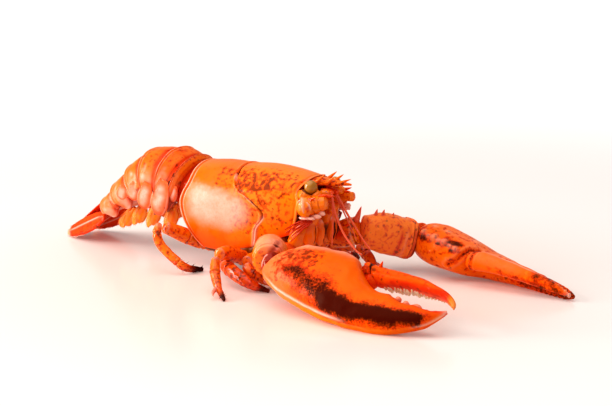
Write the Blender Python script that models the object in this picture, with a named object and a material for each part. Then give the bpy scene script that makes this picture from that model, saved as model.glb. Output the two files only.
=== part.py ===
"""A cooked lobster: shell, folded tail fan, two large claws, eight walking legs and the head's feelers.

Sizes are in millimetres in a body frame: X runs forward along the body, Y to the animal's left and
Z up, with Z = 0 on the surface that it lies on. ORIGIN is subtracted, so that the finished object
stands with the middle of its underside at the scene's origin.
"""

import bpy
import numpy as np

MM = 0.001
ORIGIN = np.array((58.1, -3.4, 0.0))

CARAPACE_HALF_WIDTH = 25.0
GROOVE_DEPTH = 0.9
RIM_DEPTH = 0.5
ROSTRUM_TIP = 104.5
EYE_RADIUS = 3.9
CRUSHER_LENGTH = 113.0
CUTTER_LENGTH = 110.0

COLOURS = {
    "shell": ((0.86, 0.16, 0.02, 1.0), 0.32),
    "claw_shell": ((0.83, 0.13, 0.02, 1.0), 0.3),
    "leg_shell": ((0.78, 0.09, 0.01, 1.0), 0.3),
    "membrane": ((0.9, 0.45, 0.12, 1.0), 0.45),
    "eye": ((0.06, 0.04, 0.01, 1.0), 0.12),
}


def clear_scene():
    for obj in list(bpy.data.objects):
        bpy.data.objects.remove(obj)


def material(slot):
    """The plain shell, membrane or eye material with this name."""
    if slot in bpy.data.materials:
        return bpy.data.materials[slot]
    made = bpy.data.materials.new(slot)
    made.use_nodes = True
    shader = made.node_tree.nodes["Principled BSDF"]
    colour, roughness = COLOURS[slot]
    shader.inputs["Base Color"].default_value = colour
    shader.inputs["Roughness"].default_value = roughness
    shader.inputs["Metallic"].default_value = 0.0
    return made


# Curves and cross-sections


def unit(vector):
    return vector / np.linalg.norm(vector)


def smooth(rows, count):
    """Rows of numbers resampled to count rows along a Catmull-Rom curve through them."""
    rows = np.asarray(rows, float)
    padded = np.vstack((2 * rows[0] - rows[1], rows, 2 * rows[-1] - rows[-2]))
    at = np.linspace(0, len(rows) - 1, count)
    cell = np.minimum(at.astype(int), len(rows) - 2)
    t = (at - cell)[:, None]
    a, b, c, d = (padded[cell + k] for k in range(4))
    return 0.5 * (2 * b + (c - a) * t + (2 * a - 5 * b + 4 * c - d) * t**2 + (3 * b - a - 3 * c + d) * t**3)


def power(values, exponent):
    return np.sign(values) * np.abs(values) ** exponent


def oval(sides, squareness=2.0):
    """The cosine-like and sine-like factors of a superellipse's points."""
    turn = np.linspace(0, 2 * np.pi, sides, endpoint=False)
    return power(np.cos(turn), 2 / squareness), power(np.sin(turn), 2 / squareness)


def tube_rings(rows, sides, up=(0, 0, 1), squareness=2.0):
    """Rings round a curved centre line. Each row is x, y, z, half width and half height."""
    rows = np.asarray(rows, float)
    along = np.gradient(rows[:, :3], axis=0)
    across, rise = oval(sides, squareness)
    rings = []
    for row, ahead in zip(rows, along):
        ahead = unit(ahead)
        side = unit(np.cross(up, ahead))
        top = np.cross(ahead, side)
        rings.append(row[:3] + np.outer(across * row[3], side) + np.outer(rise * row[4], top))
    return rings


def domed(rows, start, end):
    """Tube rows with a short rounded cap of this length added at each end."""
    rows = np.asarray(rows, float)
    first = cap_rows(rows[0], rows[0, :3] - rows[1, :3], start)
    last = cap_rows(rows[-1], rows[-1, :3] - rows[-2, :3], end)
    return np.vstack((first[::-1], rows, last))


def cap_rows(row, outward, length):
    if length <= 0:
        return np.empty((0, 5))
    made = []
    for part, size in ((0.55, 0.84), (0.9, 0.44)):
        centre = row[:3] + unit(outward) * length * part
        made.append((*centre, row[3] * size, row[4] * size))
    return np.array(made)


def solid(name, rings, slot, start_tip=None, end_tip=None):
    """A closed mesh object through the rings, each end closed round one middle point."""
    sides = len(rings[0])
    start_tip = np.mean(rings[0], axis=0) if start_tip is None else start_tip
    end_tip = np.mean(rings[-1], axis=0) if end_tip is None else end_tip
    points = np.vstack((*rings, start_tip, end_tip))
    start, end = len(points) - 2, len(points) - 1
    faces = []
    for ring in range(len(rings) - 1):
        low = ring * sides
        for k in range(sides):
            after = (k + 1) % sides
            faces.append((low + k, low + after, low + sides + after, low + sides + k))
    last = (len(rings) - 1) * sides
    for k in range(sides):
        after = (k + 1) % sides
        faces.append((start, after, k))
        faces.append((end, last + k, last + after))
    return mesh_object(name, points, faces, slot)


def mesh_object(name, points, faces, slot):
    """A mesh object, flattened where it rests on the table, with its faces turned outward."""
    resting = np.column_stack((points[:, :2], np.maximum(points[:, 2], 0)))
    placed = (resting - ORIGIN) * MM
    mesh = bpy.data.meshes.new(name)
    mesh.from_pydata(placed.tolist(), [], faces)
    a, b, c = np.moveaxis(placed[np.array([face[:3] for face in faces])] - placed[0], 1, 0)
    if np.einsum("ij,ij->", a, np.cross(b, c)) < 0:
        mesh.flip_normals()
    mesh.polygons.foreach_set("use_smooth", [True] * len(mesh.polygons))
    mesh.materials.append(material(slot))
    obj = bpy.data.objects.new(name, mesh)
    bpy.context.scene.collection.objects.link(obj)
    return obj


def tube(name, rows, sides, count, slot, caps=(1.5, 1.5), up=(0, 0, 1), squareness=2.0):
    """A closed tube along rows of x, y, z, half width and half height, resampled to count rings."""
    rings = tube_rings(domed(smooth(rows, count), *caps), sides, up, squareness)
    return solid(name, rings, slot)


def add_cones(obj, cones, sides=5):
    """Unions a sharp cone for each (base, tip, base radius) into the object."""
    for index, (base, tip, radius) in enumerate(cones):
        base, tip = np.array(base, float), np.array(tip, float)
        rows = [(*(base + (tip - base) * t), radius * w, radius * w) for t, w in ((0, 1), (0.9, 0.15))]
        up = (0, 1, 0) if abs(unit(tip - base)[2]) > 0.9 else (0, 0, 1)
        add_helper(obj, solid(f"{obj.name}_spine_{index}", tube_rings(rows, sides, up), "shell", end_tip=tip))


def add_helper(obj, helper):
    """Unions a helper object into obj, and keeps the helper out of the finished scene."""
    helper.hide_render = True
    helper.display_type = "WIRE"
    union = obj.modifiers.new(helper.name, "BOOLEAN")
    union.operation = "UNION"
    union.solver = "EXACT"
    union.object = helper


# The shell of the body


def table(x, stations, values):
    """A smooth curve through a few named heights or widths along the body."""
    slopes = np.gradient(values, stations)
    cell = np.clip(np.searchsorted(stations, x) - 1, 0, len(stations) - 2)
    x0, x1 = np.take(stations, cell), np.take(stations, cell + 1)
    y0, y1 = np.take(values, cell), np.take(values, cell + 1)
    s0, s1 = np.take(slopes, cell), np.take(slopes, cell + 1)
    h = x1 - x0
    t = np.clip((x - x0) / h, 0, 1)
    blend = y0 * (1 + 2 * t) * (1 - t) ** 2 + y1 * t**2 * (3 - 2 * t)
    return blend + h * t * (1 - t) * (s0 * (1 - t) - s1 * t)


TOP = ((-3, 15, 33, 50, 66, 82), (60.8, 62.8, 62.8, 63.8, 62.8, 60.0))
WIDEST = ((-3, 15, 33, 50, 66, 82), (0.94, 1.0, 1.0, 0.97, 0.89, 0.75))
MIDDLE = ((-3, 15, 33, 50, 66, 82), (37.0, 36.0, 36.0, 36.5, 39.0, 43.0))
EDGE = ((-3, 20, 33, 48, 62, 75, 82), (13.5, 12.0, 12.2, 16.5, 22.0, 27.5, 31.0))
ARCH = 6.0

# Where the rear rim, the neck groove and the front rim lie, against the angle down from the back.
RIM_ANGLES = np.radians((0, 30, 60, 75, 90, 104, 115, 131, 146, 180))
REAR_RIM = (0.0, 0.8, 0.8, -1.8, -3.0, 0.2, 5.0, 11.5, 13.0, 14.0)
NECK_GROOVE = (33.0, 34.5, 40.5, 51.5, 58.8, 54.0, 53.0, 51.5, 50.0, 48.0)
FRONT_RIM = (82.0, 81.5, 79.5, 81.3, 80.8, 80.0, 78.8, 76.5, 72.0, 54.0)


def carapace_section(angle, x):
    """Y and Z of the shell at this angle from the back's middle line and this X."""
    top, middle, edge = table(x, *TOP), table(x, *MIDDLE), table(x, *EDGE)
    half = CARAPACE_HALF_WIDTH * table(x, *WIDEST)
    turned = np.abs(angle)
    y_top = half * power(np.sin(turned), 0.95)
    z_top = middle + (top - middle) * power(np.cos(turned), 0.9)
    low = np.clip((turned / (np.pi / 2) - 1) / 0.62, 0, 1)
    under = np.clip((turned / (np.pi / 2) - 1.62) / 0.38, 0, 1)
    y_low = half * (1 - 0.17 * low**2) * (1 - under)
    z_low = middle + (edge - middle) * np.sin(low * np.pi / 2) ** 0.9 + ARCH * np.sin(under * np.pi / 2)
    upper = turned <= np.pi / 2
    return np.sign(angle) * np.where(upper, y_top, y_low), np.where(upper, z_top, z_low)


def carapace_rings(sides, rear_steps, front_steps):
    """Rings from the rear rim, through the neck groove, to the front rim."""
    angle = np.linspace(-np.pi, np.pi, sides, endpoint=False)
    turned = np.abs(angle)
    rear, neck, front = (table(turned, RIM_ANGLES, values) for values in (REAR_RIM, NECK_GROOVE, FRONT_RIM))
    rows = [(0.0, 0.0, 0.0), (0.4, 0.0, 0.0), (0.8, 0.0, RIM_DEPTH), (1.4, 0.0, 0.1)]
    rows += [(1.4, t, 0.0) for t in np.linspace(0, 0.95, rear_steps)[1:]]
    rows += [(0.0, 1.0, GROOVE_DEPTH)]
    rows += [(0.0, 1.0 + t, 0.0) for t in np.linspace(0.06, 1, front_steps)]
    rings = []
    for offset, t, depth in rows:
        x = rear + (neck - rear) * min(t, 1) + (front - neck) * max(t - 1, 0) + offset * (1 - min(t, 1))
        y, z = carapace_section(angle, x)
        middle = table(x, *MIDDLE)
        fade = 1 - np.clip((turned - 2.2) / 0.4, 0, 1)
        shrink = 1 - depth * fade / CARAPACE_HALF_WIDTH
        rings.append(np.column_stack((x, y * shrink, middle + (z - middle) * shrink)))
    return rings


ROSTRUM = (
    (72, 0, 57.6, 10.0, 2.4),
    (82, 0, 57.2, 7.2, 2.2),
    (92, 0, 57.2, 4.2, 1.8),
    (ROSTRUM_TIP, 0, 57.3, 0.7, 0.6),
)
STERNUM = (
    (9, 0, 11.2, 7.5, 2.6),
    (25, 0, 10.8, 11.6, 3.0),
    (48, 0, 11.6, 11.6, 3.2),
    (70, 0, 15.6, 9.0, 3.4),
)


def build_carapace():
    rings = carapace_rings(30, 5, 6)
    shell = solid("carapace", rings, "shell", np.array((6.0, 0.0, 38.0)), np.array((76.0, 0.0, 44.0)))
    rings = tube_rings(domed(smooth(ROSTRUM, 6), 0, 0.8), 8)
    add_helper(shell, solid("carapace_rostrum", rings, "shell"))
    spines = []
    for side in (-1, 1):
        spines.append(((86, side * 5.2, 57.5), (91.5, side * 6.2, 62.6), 1.3))
        spines.append(((91, side * 3.6, 57.5), (96.5, side * 4.6, 61.8), 1.2))
        spines.append(((97, side * 1.6, 57.4), (102.5, side * 3.4, 59.6), 1.0))
    add_cones(shell, spines)


def build_sternum():
    tube("sternum", STERNUM, 10, 7, "membrane", squareness=3.0)


# The tail: six hinged segments, then the folded fan

TAIL_LINE = (
    (-0.2, 60.2),
    (-8.0, 62.6),
    (-22.5, 66.0),
    (-42.0, 63.0),
    (-56.5, 52.0),
    (-69.5, 39.5),
    (-79.5, 28.5),
)
TAIL_HALF_WIDTH = (21.8, 22.5, 23.6, 23.4, 22.2, 20.2, 17.4)
TAIL_SIDE_DEPTH = (20.0, 21.0, 22.0, 20.0, 17.0, 14.5, 11.0)
TAIL_BELLY_DEPTH = (26.0, 27.5, 28.0, 23.5, 18.5, 15.5, 12.0)
FLAP_DEPTH = (33.0, 39.0, 34.0, 28.0, 24.0, 19.0)
FLAP_THICKNESS = 2.4
FLAP_TAPER = 0.3

# Along one segment: the part of its length, of its flaps' depth, and how far it swells.
SEGMENT_PROFILE = (
    (-0.48, 0.0, -0.5),
    (-0.44, 0.86, 0.0),
    (-0.2, 0.97, 0.1),
    (0.05, 1.0, 0.2),
    (0.3, 0.9, 0.35),
    (0.48, 0.0, 0.5),
)


def tail_samples():
    columns = np.column_stack((TAIL_LINE, TAIL_HALF_WIDTH, TAIL_SIDE_DEPTH, TAIL_BELLY_DEPTH))
    return smooth(columns, (len(TAIL_LINE) - 1) * 20 + 1)


def tail_frame(samples, station):
    """The back line's point, inward direction, half width, side depth and belly depth at a station."""
    spot = np.clip(station * 20, 0, len(samples) - 1)
    low = int(min(spot, len(samples) - 2))
    row = samples[low] + (samples[low + 1] - samples[low]) * (spot - low)
    ahead = unit(samples[min(low + 4, len(samples) - 1), :2] - samples[max(low - 4, 0), :2])
    return row[:2], np.array((-ahead[1], ahead[0])), row[2], row[3], row[4]


def tail_section(samples, station, middle, flap, swell):
    """One ring of the tail: round over the back, down to the side flaps' tips and across the belly."""
    top, inward, half, side, belly = tail_frame(samples, station)
    half += swell
    tip = max(flap, belly + 1.0)
    outline = []
    for turn in np.radians((0, 18, 36, 54, 72, 90)):
        outline.append((half * np.sin(turn) ** 0.9, side * (1 - np.cos(turn)) - swell * np.cos(turn)))
    outline += [(half * (1 - 0.08 * part**2), side + (tip - side) * part) for part in (0.5, 1.0)]
    outline.append((half * 0.92 - FLAP_THICKNESS, tip - 0.5))
    outline.append((half * 0.75 - FLAP_THICKNESS, belly))
    outline.append((half * 0.35, belly - 0.6))
    points = []
    for y, depth in [(-y, depth) for y, depth in outline] + outline[:0:-1]:
        pulled = station + (middle - station) * FLAP_TAPER * max(depth - side, 0) / (tip - side)
        top, inward, *_ = tail_frame(samples, pulled)
        points.append((top[0] + inward[0] * depth, y, top[1] + inward[1] * depth))
    return np.array(points)


def build_tail_segment(samples, index):
    """Segment index + 1, whose rear rim is a little wider than the front of the next."""
    middle = index + 0.5
    rings = []
    for part, flap, swell in SEGMENT_PROFILE:
        ring = tail_section(samples, middle + part, middle, FLAP_DEPTH[index] * flap, swell)
        if index == 0:
            ring = ring - np.array((3.4, 0, 0)) * (0.48 - part)
        rings.append(ring)
    solid(f"abdomen_{index + 1}", rings, "shell")


def blade(name, rows, sides, count, slot, frame, squareness=2.2, bias=0.0):
    """A flat piece between two edges. Rows hold outer x, y, inner x, y, half thickness and middle z."""
    origin, ahead, across = (np.array(part, float) for part in frame)
    ahead = unit(ahead)
    normal = unit(np.cross(ahead, across))
    across = np.cross(normal, ahead)
    spread, rise = oval(sides, squareness)
    rings = []
    for outer_x, outer_y, inner_x, inner_y, thick, level in smooth(rows, count):
        outer = outer_x * ahead + outer_y * across
        inner = inner_x * ahead + inner_y * across
        middle = origin + (outer + inner) / 2 + normal * level
        lean = thick * rise * (1 + bias * np.sign(rise))
        rings.append(middle + np.outer(spread, (outer - inner) / 2) + np.outer(lean, normal))
    return solid(name, rings, slot)


TELSON = (
    (0, 7.5, 0, -7.5, 0.9, 0),
    (3, 9.0, 3, -9.0, 1.5, 0),
    (20, 8.6, 20, -8.6, 1.4, 0),
    (34, 6.6, 34, -6.6, 1.0, 0),
    (39.5, 2.6, 39.5, -2.6, 0.6, 0),
)
INNER_UROPOD = (
    (0, 3.2, 0, -3.0, 0.8, 0),
    (5, 4.2, 5, -4.2, 1.2, 0),
    (20, 4.2, 20, -4.2, 1.1, 0),
    (31, 3.0, 31, -3.0, 0.9, 0),
    (35, 1.4, 35, -1.4, 0.5, 0),
)
OUTER_UROPOD = (
    (0, 3.0, 0, -2.6, 0.9, 0),
    (8, 6.0, 8, -4.8, 1.5, 0),
    (22, 6.6, 22, -5.2, 1.4, 0),
    (36, 4.4, 36, -4.2, 1.0, 0),
    (42.4, 1.4, 42.4, -1.6, 0.6, 0),
)


def build_tail_fan():
    blade("telson", TELSON, 10, 8, "shell", ((-81.2, 0, 25.4), (-0.79, 0, -0.61), (0, -1, 0)))
    for side, word in ((-1, "right"), (1, "left")):
        frame = ((-76.8, side * 4.7, 21.4), (-0.81, 0, -0.54), (0, side, -0.12))
        blade(f"uropod_inner_{word}", INNER_UROPOD, 8, 6, "shell", frame)
    frame = ((-72.0, -15.2, 19.4), (-0.895, 0.13, -0.4), (0, -0.42, -0.9))
    blade("uropod_outer_right", OUTER_UROPOD, 10, 8, "shell", frame)
    frame = ((-73.6, 15.6, 18.0), (-0.89, -0.1, -0.41), (0, 0.5, -0.8))
    blade("uropod_outer_left", np.array(OUTER_UROPOD) * 0.9, 10, 8, "shell", frame)


def build_swimmerets():
    for index, (x, z) in enumerate(((-16, 34), (-29, 33.5), (-40, 32.0), (-50, 27.5))):
        lean = 2.0 + index
        for side, word in ((-1, "right"), (1, "left")):
            rows = (
                (x, side * 13, z, 2.4, 1.2),
                (x - lean * 0.6, side * 14, z - 9, 3.0, 1.4),
                (x - lean, side * 14.5, z - 17 + index, 1.6, 0.8),
            )
            tube(f"swimmeret_{index + 2}_{word}", rows, 6, 3, "membrane", (0.8, 1.2), up=(1, 0, 0))


# The head


ANTENNA_RIGHT = (
    (83.8, -17.2, 45.0, 5.4, 6.0),
    (87.0, -15.2, 45.6, 5.2, 5.8),
    (91.0, -13.6, 46.6, 4.4, 5.0),
    (96.0, -12.4, 47.6, 3.2, 3.6),
)
ANTENNA_LEFT = (
    (83.8, 15.4, 44.6, 4.6, 5.2),
    (87.0, 12.6, 46.0, 4.2, 4.6),
    (91.0, 10.6, 47.4, 3.2, 3.3),
    (99.5, 10.0, 48.0, 2.8, 2.8),
)

# Each feeler's root (y, z), then the centre lines of its thin and its thick whip.
FEELERS = {
    "right": (
        (-3.4, 52.0),
        ((95.6, -5.6, 51.5), (96.4, -6.3, 44), (97.4, -7.0, 36), (97.4, -8.0, 22)),
        ((94.9, -5.2, 51.8), (98.7, -6.2, 40.1), (105, -6.8, 29.4), (113.2, -7.4, 21.6), (117.2, -7.4, 19.4)),
    ),
    "left": (
        (1.6, 51.6),
        ((93.8, 1.0, 49.6), (98.9, 2.2, 39.6), (103.4, 3.4, 30.4), (106.6, 4.0, 24.5)),
        ((94.2, 1.6, 50.2), (101.2, 2.0, 39.5), (107.4, 2.6, 31), (110.8, 3.2, 26), (116.0, 3.4, 20.5)),
    ),
}


def build_head():
    for side, word in ((-1, "right"), (1, "left")):
        build_eye(side, word)
        build_antennule(word, *FEELERS[word])
        rows = (
            (84.5, side * 4.6, 37, 3.2, 2.6),
            (83.2, side * 6.2, 29, 3.8, 3.4),
            (80.6, side * 7.4, 20, 3.0, 3.0),
            (79.2, side * 7.2, 14, 1.6, 1.6),
        )
        tube(f"maxilliped_{word}", rows, 8, 6, "leg_shell", up=(1, 0, 0))
    tube("antenna_right", ANTENNA_RIGHT, 10, 6, "leg_shell", caps=(2.0, 0.6))
    tube("antenna_left", ANTENNA_LEFT, 8, 6, "leg_shell", caps=(2.0, 0.5))


def build_eye(side, word):
    """A ball on a short stalk. The left one is folded in under the beak."""
    fold = np.array((0.0, 0.0, 0.0) if side < 0 else (-0.6, -0.6, -1.6))
    along = unit(np.array((4.0, side * 7.0, 3.6 if side < 0 else 3.1)))
    root = np.array((83.2, side * 8.0, 53.4)) + fold
    profile = ((0.0, 2.0), (2.8, 2.2), (4.1, 3.4), (6.3, EYE_RADIUS), (8.4, 3.3), (9.6, 1.8))
    rows = [(*(root + along * step), radius, radius) for step, radius in profile]
    solid(f"eye_{word}", tube_rings(rows, 10), "eye")


def build_antennule(word, root, thin, thick):
    """A short stalk with two drooping whips."""
    y, z = root
    stalk = ((87.5, y, z, 1.8, 1.8), (91, y, z + 0.4, 1.7, 1.7), (94.6, (y + thick[0][1]) / 2, z, 1.4, 1.4))
    obj = tube(f"antennule_{word}", stalk, 6, 3, "leg_shell", caps=(0.8, 0.8))
    for index, (line, radius) in enumerate(((thin, 0.5), (thick, 0.75))):
        width = np.linspace(1, 0.6, len(line)) * radius
        rows = [(*point, r, r) for point, r in zip(line, width)]
        rings = tube_rings(smooth(rows, 7), 5, (0, 1, 0))
        add_helper(obj, solid(f"antennule_{word}_whip_{index}", rings, "leg_shell"))


# The claws

CRUSHER_PALM = (
    (0, -7, 0, 5.5, 6.0, 0),
    (6, -12.5, 3, 12, 9.5, 0),
    (17, -19.2, 13, 16.8, 12.0, 0),
    (31, -25.5, 26, 17.8, 13.0, 0),
    (46, -31, 40, 16.2, 12.6, 0),
    (58, -34, 52, 11.5, 11.4, 0),
    (66, -35.2, 57.5, 3.6, 10.2, 0),
    (74, -35.8, 64, -4.6, 9.0, 0),
    (82, -35.4, 71, -9.5, 8.0, 0),
    (90, -33.8, 79.5, -12, 7.2, 0),
    (98, -30.8, 87, -15.8, 6.2, 0),
    (105.5, -26.6, 95, -16.8, 4.8, 0),
    (110.8, -20.8, 103.5, -17.6, 2.6, 0),
    (CRUSHER_LENGTH, -16.4, 112, -14.8, 0.9, 0),
)
CRUSHER_DACTYL = (
    (56, 9.0, 58.6, 5.0, 4.0, 0),
    (60, 9.2, 62.0, 0.8, 6.0, 0),
    (66.7, 8.0, 67.6, -2.0, 5.8, 0),
    (75, 7.0, 74, -2.0, 5.0, 0),
    (84.5, 5.2, 82, -1.8, 4.7, 0),
    (94.5, 2.8, 90.5, -2.0, 4.4, 0),
    (104.5, -1.6, 99.5, -4.0, 3.8, 0),
    (111.5, -5.4, 106.8, -6.8, 3.0, 0),
    (115, -9.0, 111.6, -10.0, 2.0, 0),
    (115.6, -12.5, 114.6, -13.0, 0.8, 0),
)
CUTTER_PALM = (
    (2.5, 8, 2.5, -8, 8.6, 0),
    (7, 13, 6, -12, 10.8, 0),
    (15, 17.5, 14, -15.5, 11.9, -0.2),
    (27, 19.5, 25, -16.6, 11.2, -0.8),
    (37, 19.8, 34.5, -16.0, 10.2, -1.5),
    (45, 19.6, 40, -11.5, 8.9, -2.1),
    (53, 18.6, 45.5, -4.0, 7.9, -2.4),
    (62, 16.8, 55, -0.6, 7.0, -2.4),
    (71, 14.4, 66, 0.8, 6.0, -2.1),
    (83, 11.0, 79, 1.5, 5.0, -1.6),
    (95, 6.6, 92, 1.0, 4.0, -1.0),
    (105, 2.8, 103.5, -0.2, 2.7, -0.4),
    (CUTTER_LENGTH, -0.2, 109.4, -1.4, 1.1, 0),
)
CUTTER_DACTYL = (
    (46.4, -7.4, 43.8, -13.0, 4.2, 0.6),
    (50, -4.6, 47.5, -15.2, 5.8, 1.6),
    (58, -2.9, 56, -14.6, 5.2, 2.6),
    (70, -1.0, 68, -12.2, 4.4, 2.8),
    (83, 0.1, 82, -9.2, 3.6, 2.4),
    (95, -0.4, 94, -6.2, 2.8, 1.8),
    (104, -1.5, 103.5, -4.0, 1.9, 1.0),
    (109, -2.8, 108.6, -3.6, 0.8, 0.4),
)


def claw_frame(wrist, yaw, pitch, roll):
    """Origin, length direction and width direction of a claw turned by these degrees."""
    yaw, pitch, roll = np.radians((yaw, pitch, roll))
    ahead = np.array((np.cos(yaw) * np.cos(pitch), np.sin(yaw) * np.cos(pitch), np.sin(pitch)))
    level = unit(np.cross((0, 0, 1), ahead))
    rise = np.cross(ahead, level)
    return wrist, ahead, level * np.cos(roll) + rise * np.sin(roll)


CRUSHER_FRAME = claw_frame((89.1, -59.5, 19.9), 7.0, 0.0, 30.0)
CUTTER_FRAME = claw_frame((121.5, 50.0, 19.0), -7.5, -8.6, -8.0)


ARM_RIGHT = ((72, -13.5, 16, 6.0, 6.0), (72.5, -22, 17, 7.2, 6.8), (72, -30, 18, 8.0, 7.6))
WRIST_RIGHT = (
    (72.5, -35.5, 20.0, 8.0, 8.2),
    (74.5, -40.0, 21.5, 10.2, 10.6),
    (78.0, -46.0, 22.0, 10.4, 10.8),
    (83.0, -52.5, 21.0, 7.8, 8.4),
)
ARM_LEFT = (
    (80.5, 17.6, 20.0, 6.2, 6.5),
    (86.0, 18.0, 22.3, 7.4, 8.0),
    (93.0, 18.4, 24.8, 8.4, 8.6),
    (97.0, 19.4, 25.7, 7.4, 7.6),
)
WRIST_LEFT = (
    (103.2, 22.2, 25.4, 8.6, 9.4),
    (107.4, 28.0, 24.2, 11.6, 11.6),
    (112.4, 35.6, 21.6, 12.2, 12.0),
    (117.4, 42.4, 19.0, 10.0, 10.0),
)


def build_claws():
    blade("claw_right_palm", CRUSHER_PALM, 12, 23, "claw_shell", CRUSHER_FRAME, bias=0.1)
    blade("claw_right_finger", CRUSHER_DACTYL, 8, 14, "claw_shell", CRUSHER_FRAME)
    blade("claw_left_palm", CUTTER_PALM, 12, 20, "claw_shell", CUTTER_FRAME)
    blade("claw_left_finger", CUTTER_DACTYL, 8, 12, "claw_shell", CUTTER_FRAME)
    tube("claw_right_merus", ARM_RIGHT, 12, 4, "leg_shell")
    tube("claw_right_carpus", WRIST_RIGHT, 12, 7, "claw_shell")
    merus = tube("claw_left_merus", ARM_LEFT, 12, 6, "leg_shell")
    add_cones(merus, [((97, 18, 32), (101.2, 17.0, 41.4), 1.8)])
    carpus = tube("claw_left_carpus", WRIST_LEFT, 12, 6, "claw_shell")
    spines = [((106, 24, 33.5), (108.5, 23.0, 39.6), 1.4), ((109, 27, 33.5), (111.5, 26.0, 39.2), 1.4)]
    add_cones(carpus, spines)


# The walking legs, numbered from the front

LEGS_RIGHT = (
    (
        (
            (60, -13.5, 10.4, 3.0),
            (60, -22, 11.0, 3.4),
            (58.5, -32, 12.5, 3.8),
            (59, -38, 12.5, 3.2),
        ),
        (
            (61.5, -41.8, 11.5, 3.0),
            (65, -42.6, 8.5, 3.2),
            (71, -40.2, 5.4, 2.8),
            (79, -35, 1.2, 1.1),
        ),
    ),
    (
        (
            (47, -13.4, 8.2, 3.0),
            (47.5, -22, 9.4, 3.2),
            (48.5, -34, 14.5, 3.5),
            (49.6, -45, 18.6, 3.5),
            (50.4, -53, 19.4, 2.8),
        ),
        (
            (51.8, -58, 17.4, 2.6),
            (54.0, -61.5, 13, 3.4),
            (57.5, -65, 8.6, 3.3),
            (63, -69.5, 4.8, 3.0),
            (71, -75.1, 0.8, 0.9),
        ),
    ),
    (
        ((30, -13.4, 7.8, 3.0), (36, -26, 9.0, 3.4), (43, -38, 10.2, 3.6)),
        (
            (46.2, -42.8, 10.0, 3.2),
            (54, -46.6, 9.0, 3.9),
            (65, -50.2, 6.4, 3.6),
            (72, -50.2, 4.0, 2.6),
            (80.4, -46.4, 1.0, 1.0),
        ),
    ),
    (
        (
            (11.0, -10.0, 11.0, 2.4),
            (5.6, -17, 13.6, 2.8),
            (1.2, -26, 19.2, 3.2),
            (-2.6, -37.0, 25.0, 3.0),
        ),
        (
            (-3.6, -42.6, 27.2, 2.2),
            (-2.4, -45.4, 22.5, 2.8),
            (1.0, -46.0, 16.4, 2.7),
            (9.5, -44.4, 9.2, 2.6),
            (16.6, -41.6, 4.0, 2.3),
            (19.4, -30.5, 1.2, 1.2),
        ),
    ),
)

# The left front leg is stretched forward under the left claw's arm.
LEG_LEFT_1 = {
    "upper": ((60, -13.5, 10.0, 3.0), (66, -22, 10.4, 3.4), (76, -31, 11.5, 3.6), (84, -34, 12.0, 3.0)),
    "lower": ((89.5, -33.5, 11.5, 2.8), (96, -30, 9.4, 3.4), (103, -25, 7.0, 3.2), (112, -17.5, 1.2, 1.4)),
}


def build_legs():
    for side, word in ((1, "right"), (-1, "left")):
        for number, (upper, lower) in enumerate(LEGS_RIGHT, 1):
            for part, line, rings in (("upper", upper, 4), ("lower", lower, 7)):
                line = LEG_LEFT_1[part] if (side, number) == (-1, 1) else line
                rows = [(x, y * side, z, r, r) for x, y, z, r in line]
                tip = 0.4 if part == "lower" else 0.9
                tube(f"leg_{word}_{number}_{part}", rows, 6, rings, "leg_shell", caps=(0.9, tip))


def build_lobster():
    clear_scene()
    build_carapace()
    build_sternum()
    samples = tail_samples()
    for index in range(6):
        build_tail_segment(samples, index)
    build_tail_fan()
    build_swimmerets()
    build_head()
    build_claws()
    build_legs()


build_lobster()
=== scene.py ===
"""A cooked lobster: its shells, legs, feelers and soft skins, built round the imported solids.

Shapes are worked out in millimetres in a body frame: X runs forward along the body, Y to the
animal's left and Z up from the table. ORIGIN moves them into the row frame, in metres.
"""

import itertools

import bpy
import numpy as np
from bpy.props import FloatProperty, FloatVectorProperty, PointerProperty
from bpy.types import Operator, Panel, PropertyGroup
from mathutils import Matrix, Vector


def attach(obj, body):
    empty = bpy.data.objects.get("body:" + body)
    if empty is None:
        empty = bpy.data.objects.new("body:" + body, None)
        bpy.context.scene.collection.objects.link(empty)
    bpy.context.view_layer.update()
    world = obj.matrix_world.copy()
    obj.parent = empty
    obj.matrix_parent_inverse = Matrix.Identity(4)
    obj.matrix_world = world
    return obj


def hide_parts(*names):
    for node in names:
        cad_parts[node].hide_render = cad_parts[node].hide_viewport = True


bl_info = {
    "name": "Cooked lobster",
    "version": (1, 0, 0),
    "blender": (4, 5, 0),
    "location": "3D View > Sidebar > Lobster",
    "description": "Builds a cooked lobster and its light table",
    "category": "Object",
}

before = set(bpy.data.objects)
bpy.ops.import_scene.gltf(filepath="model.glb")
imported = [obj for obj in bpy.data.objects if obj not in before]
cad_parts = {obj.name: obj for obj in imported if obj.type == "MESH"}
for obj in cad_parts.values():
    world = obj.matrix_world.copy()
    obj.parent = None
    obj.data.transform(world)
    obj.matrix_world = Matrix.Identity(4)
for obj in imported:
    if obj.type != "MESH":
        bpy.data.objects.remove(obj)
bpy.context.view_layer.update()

MM = 0.001
ORIGIN = np.array((58.1, -3.4, 0.0))
PAINTS = ("amber", "patch", "freckle", "pale", "pink", "deep", "dark")

# How close to the table a shell and a bristle may come, in millimetres.
TABLE_GAP = 0.02
BRISTLE_GAP = 0.05


class LobsterSizes(PropertyGroup):
    """Sizes of the finer features."""

    rim_roll: FloatProperty(
        name="Rim roll",
        description="How far the rolled rims of the shells stand proud",
        default=0.0003,
        unit="LENGTH",
    )
    groove_depth: FloatProperty(
        name="Groove depth",
        description="Depth of the crack across the body shell",
        default=0.0011,
        unit="LENGTH",
    )
    lump_height: FloatProperty(
        name="Lump height",
        description="Height of the uneven swellings of every shell",
        default=0.00022,
        unit="LENGTH",
    )
    tooth_length: FloatProperty(
        name="Tooth length",
        description="Length of the longest tooth of the claw's moving finger",
        default=0.0032,
        unit="LENGTH",
    )
    bristle_length: FloatProperty(
        name="Bristle length",
        description="Length of the dark bristles of the leg tips",
        default=0.0026,
        unit="LENGTH",
    )


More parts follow.
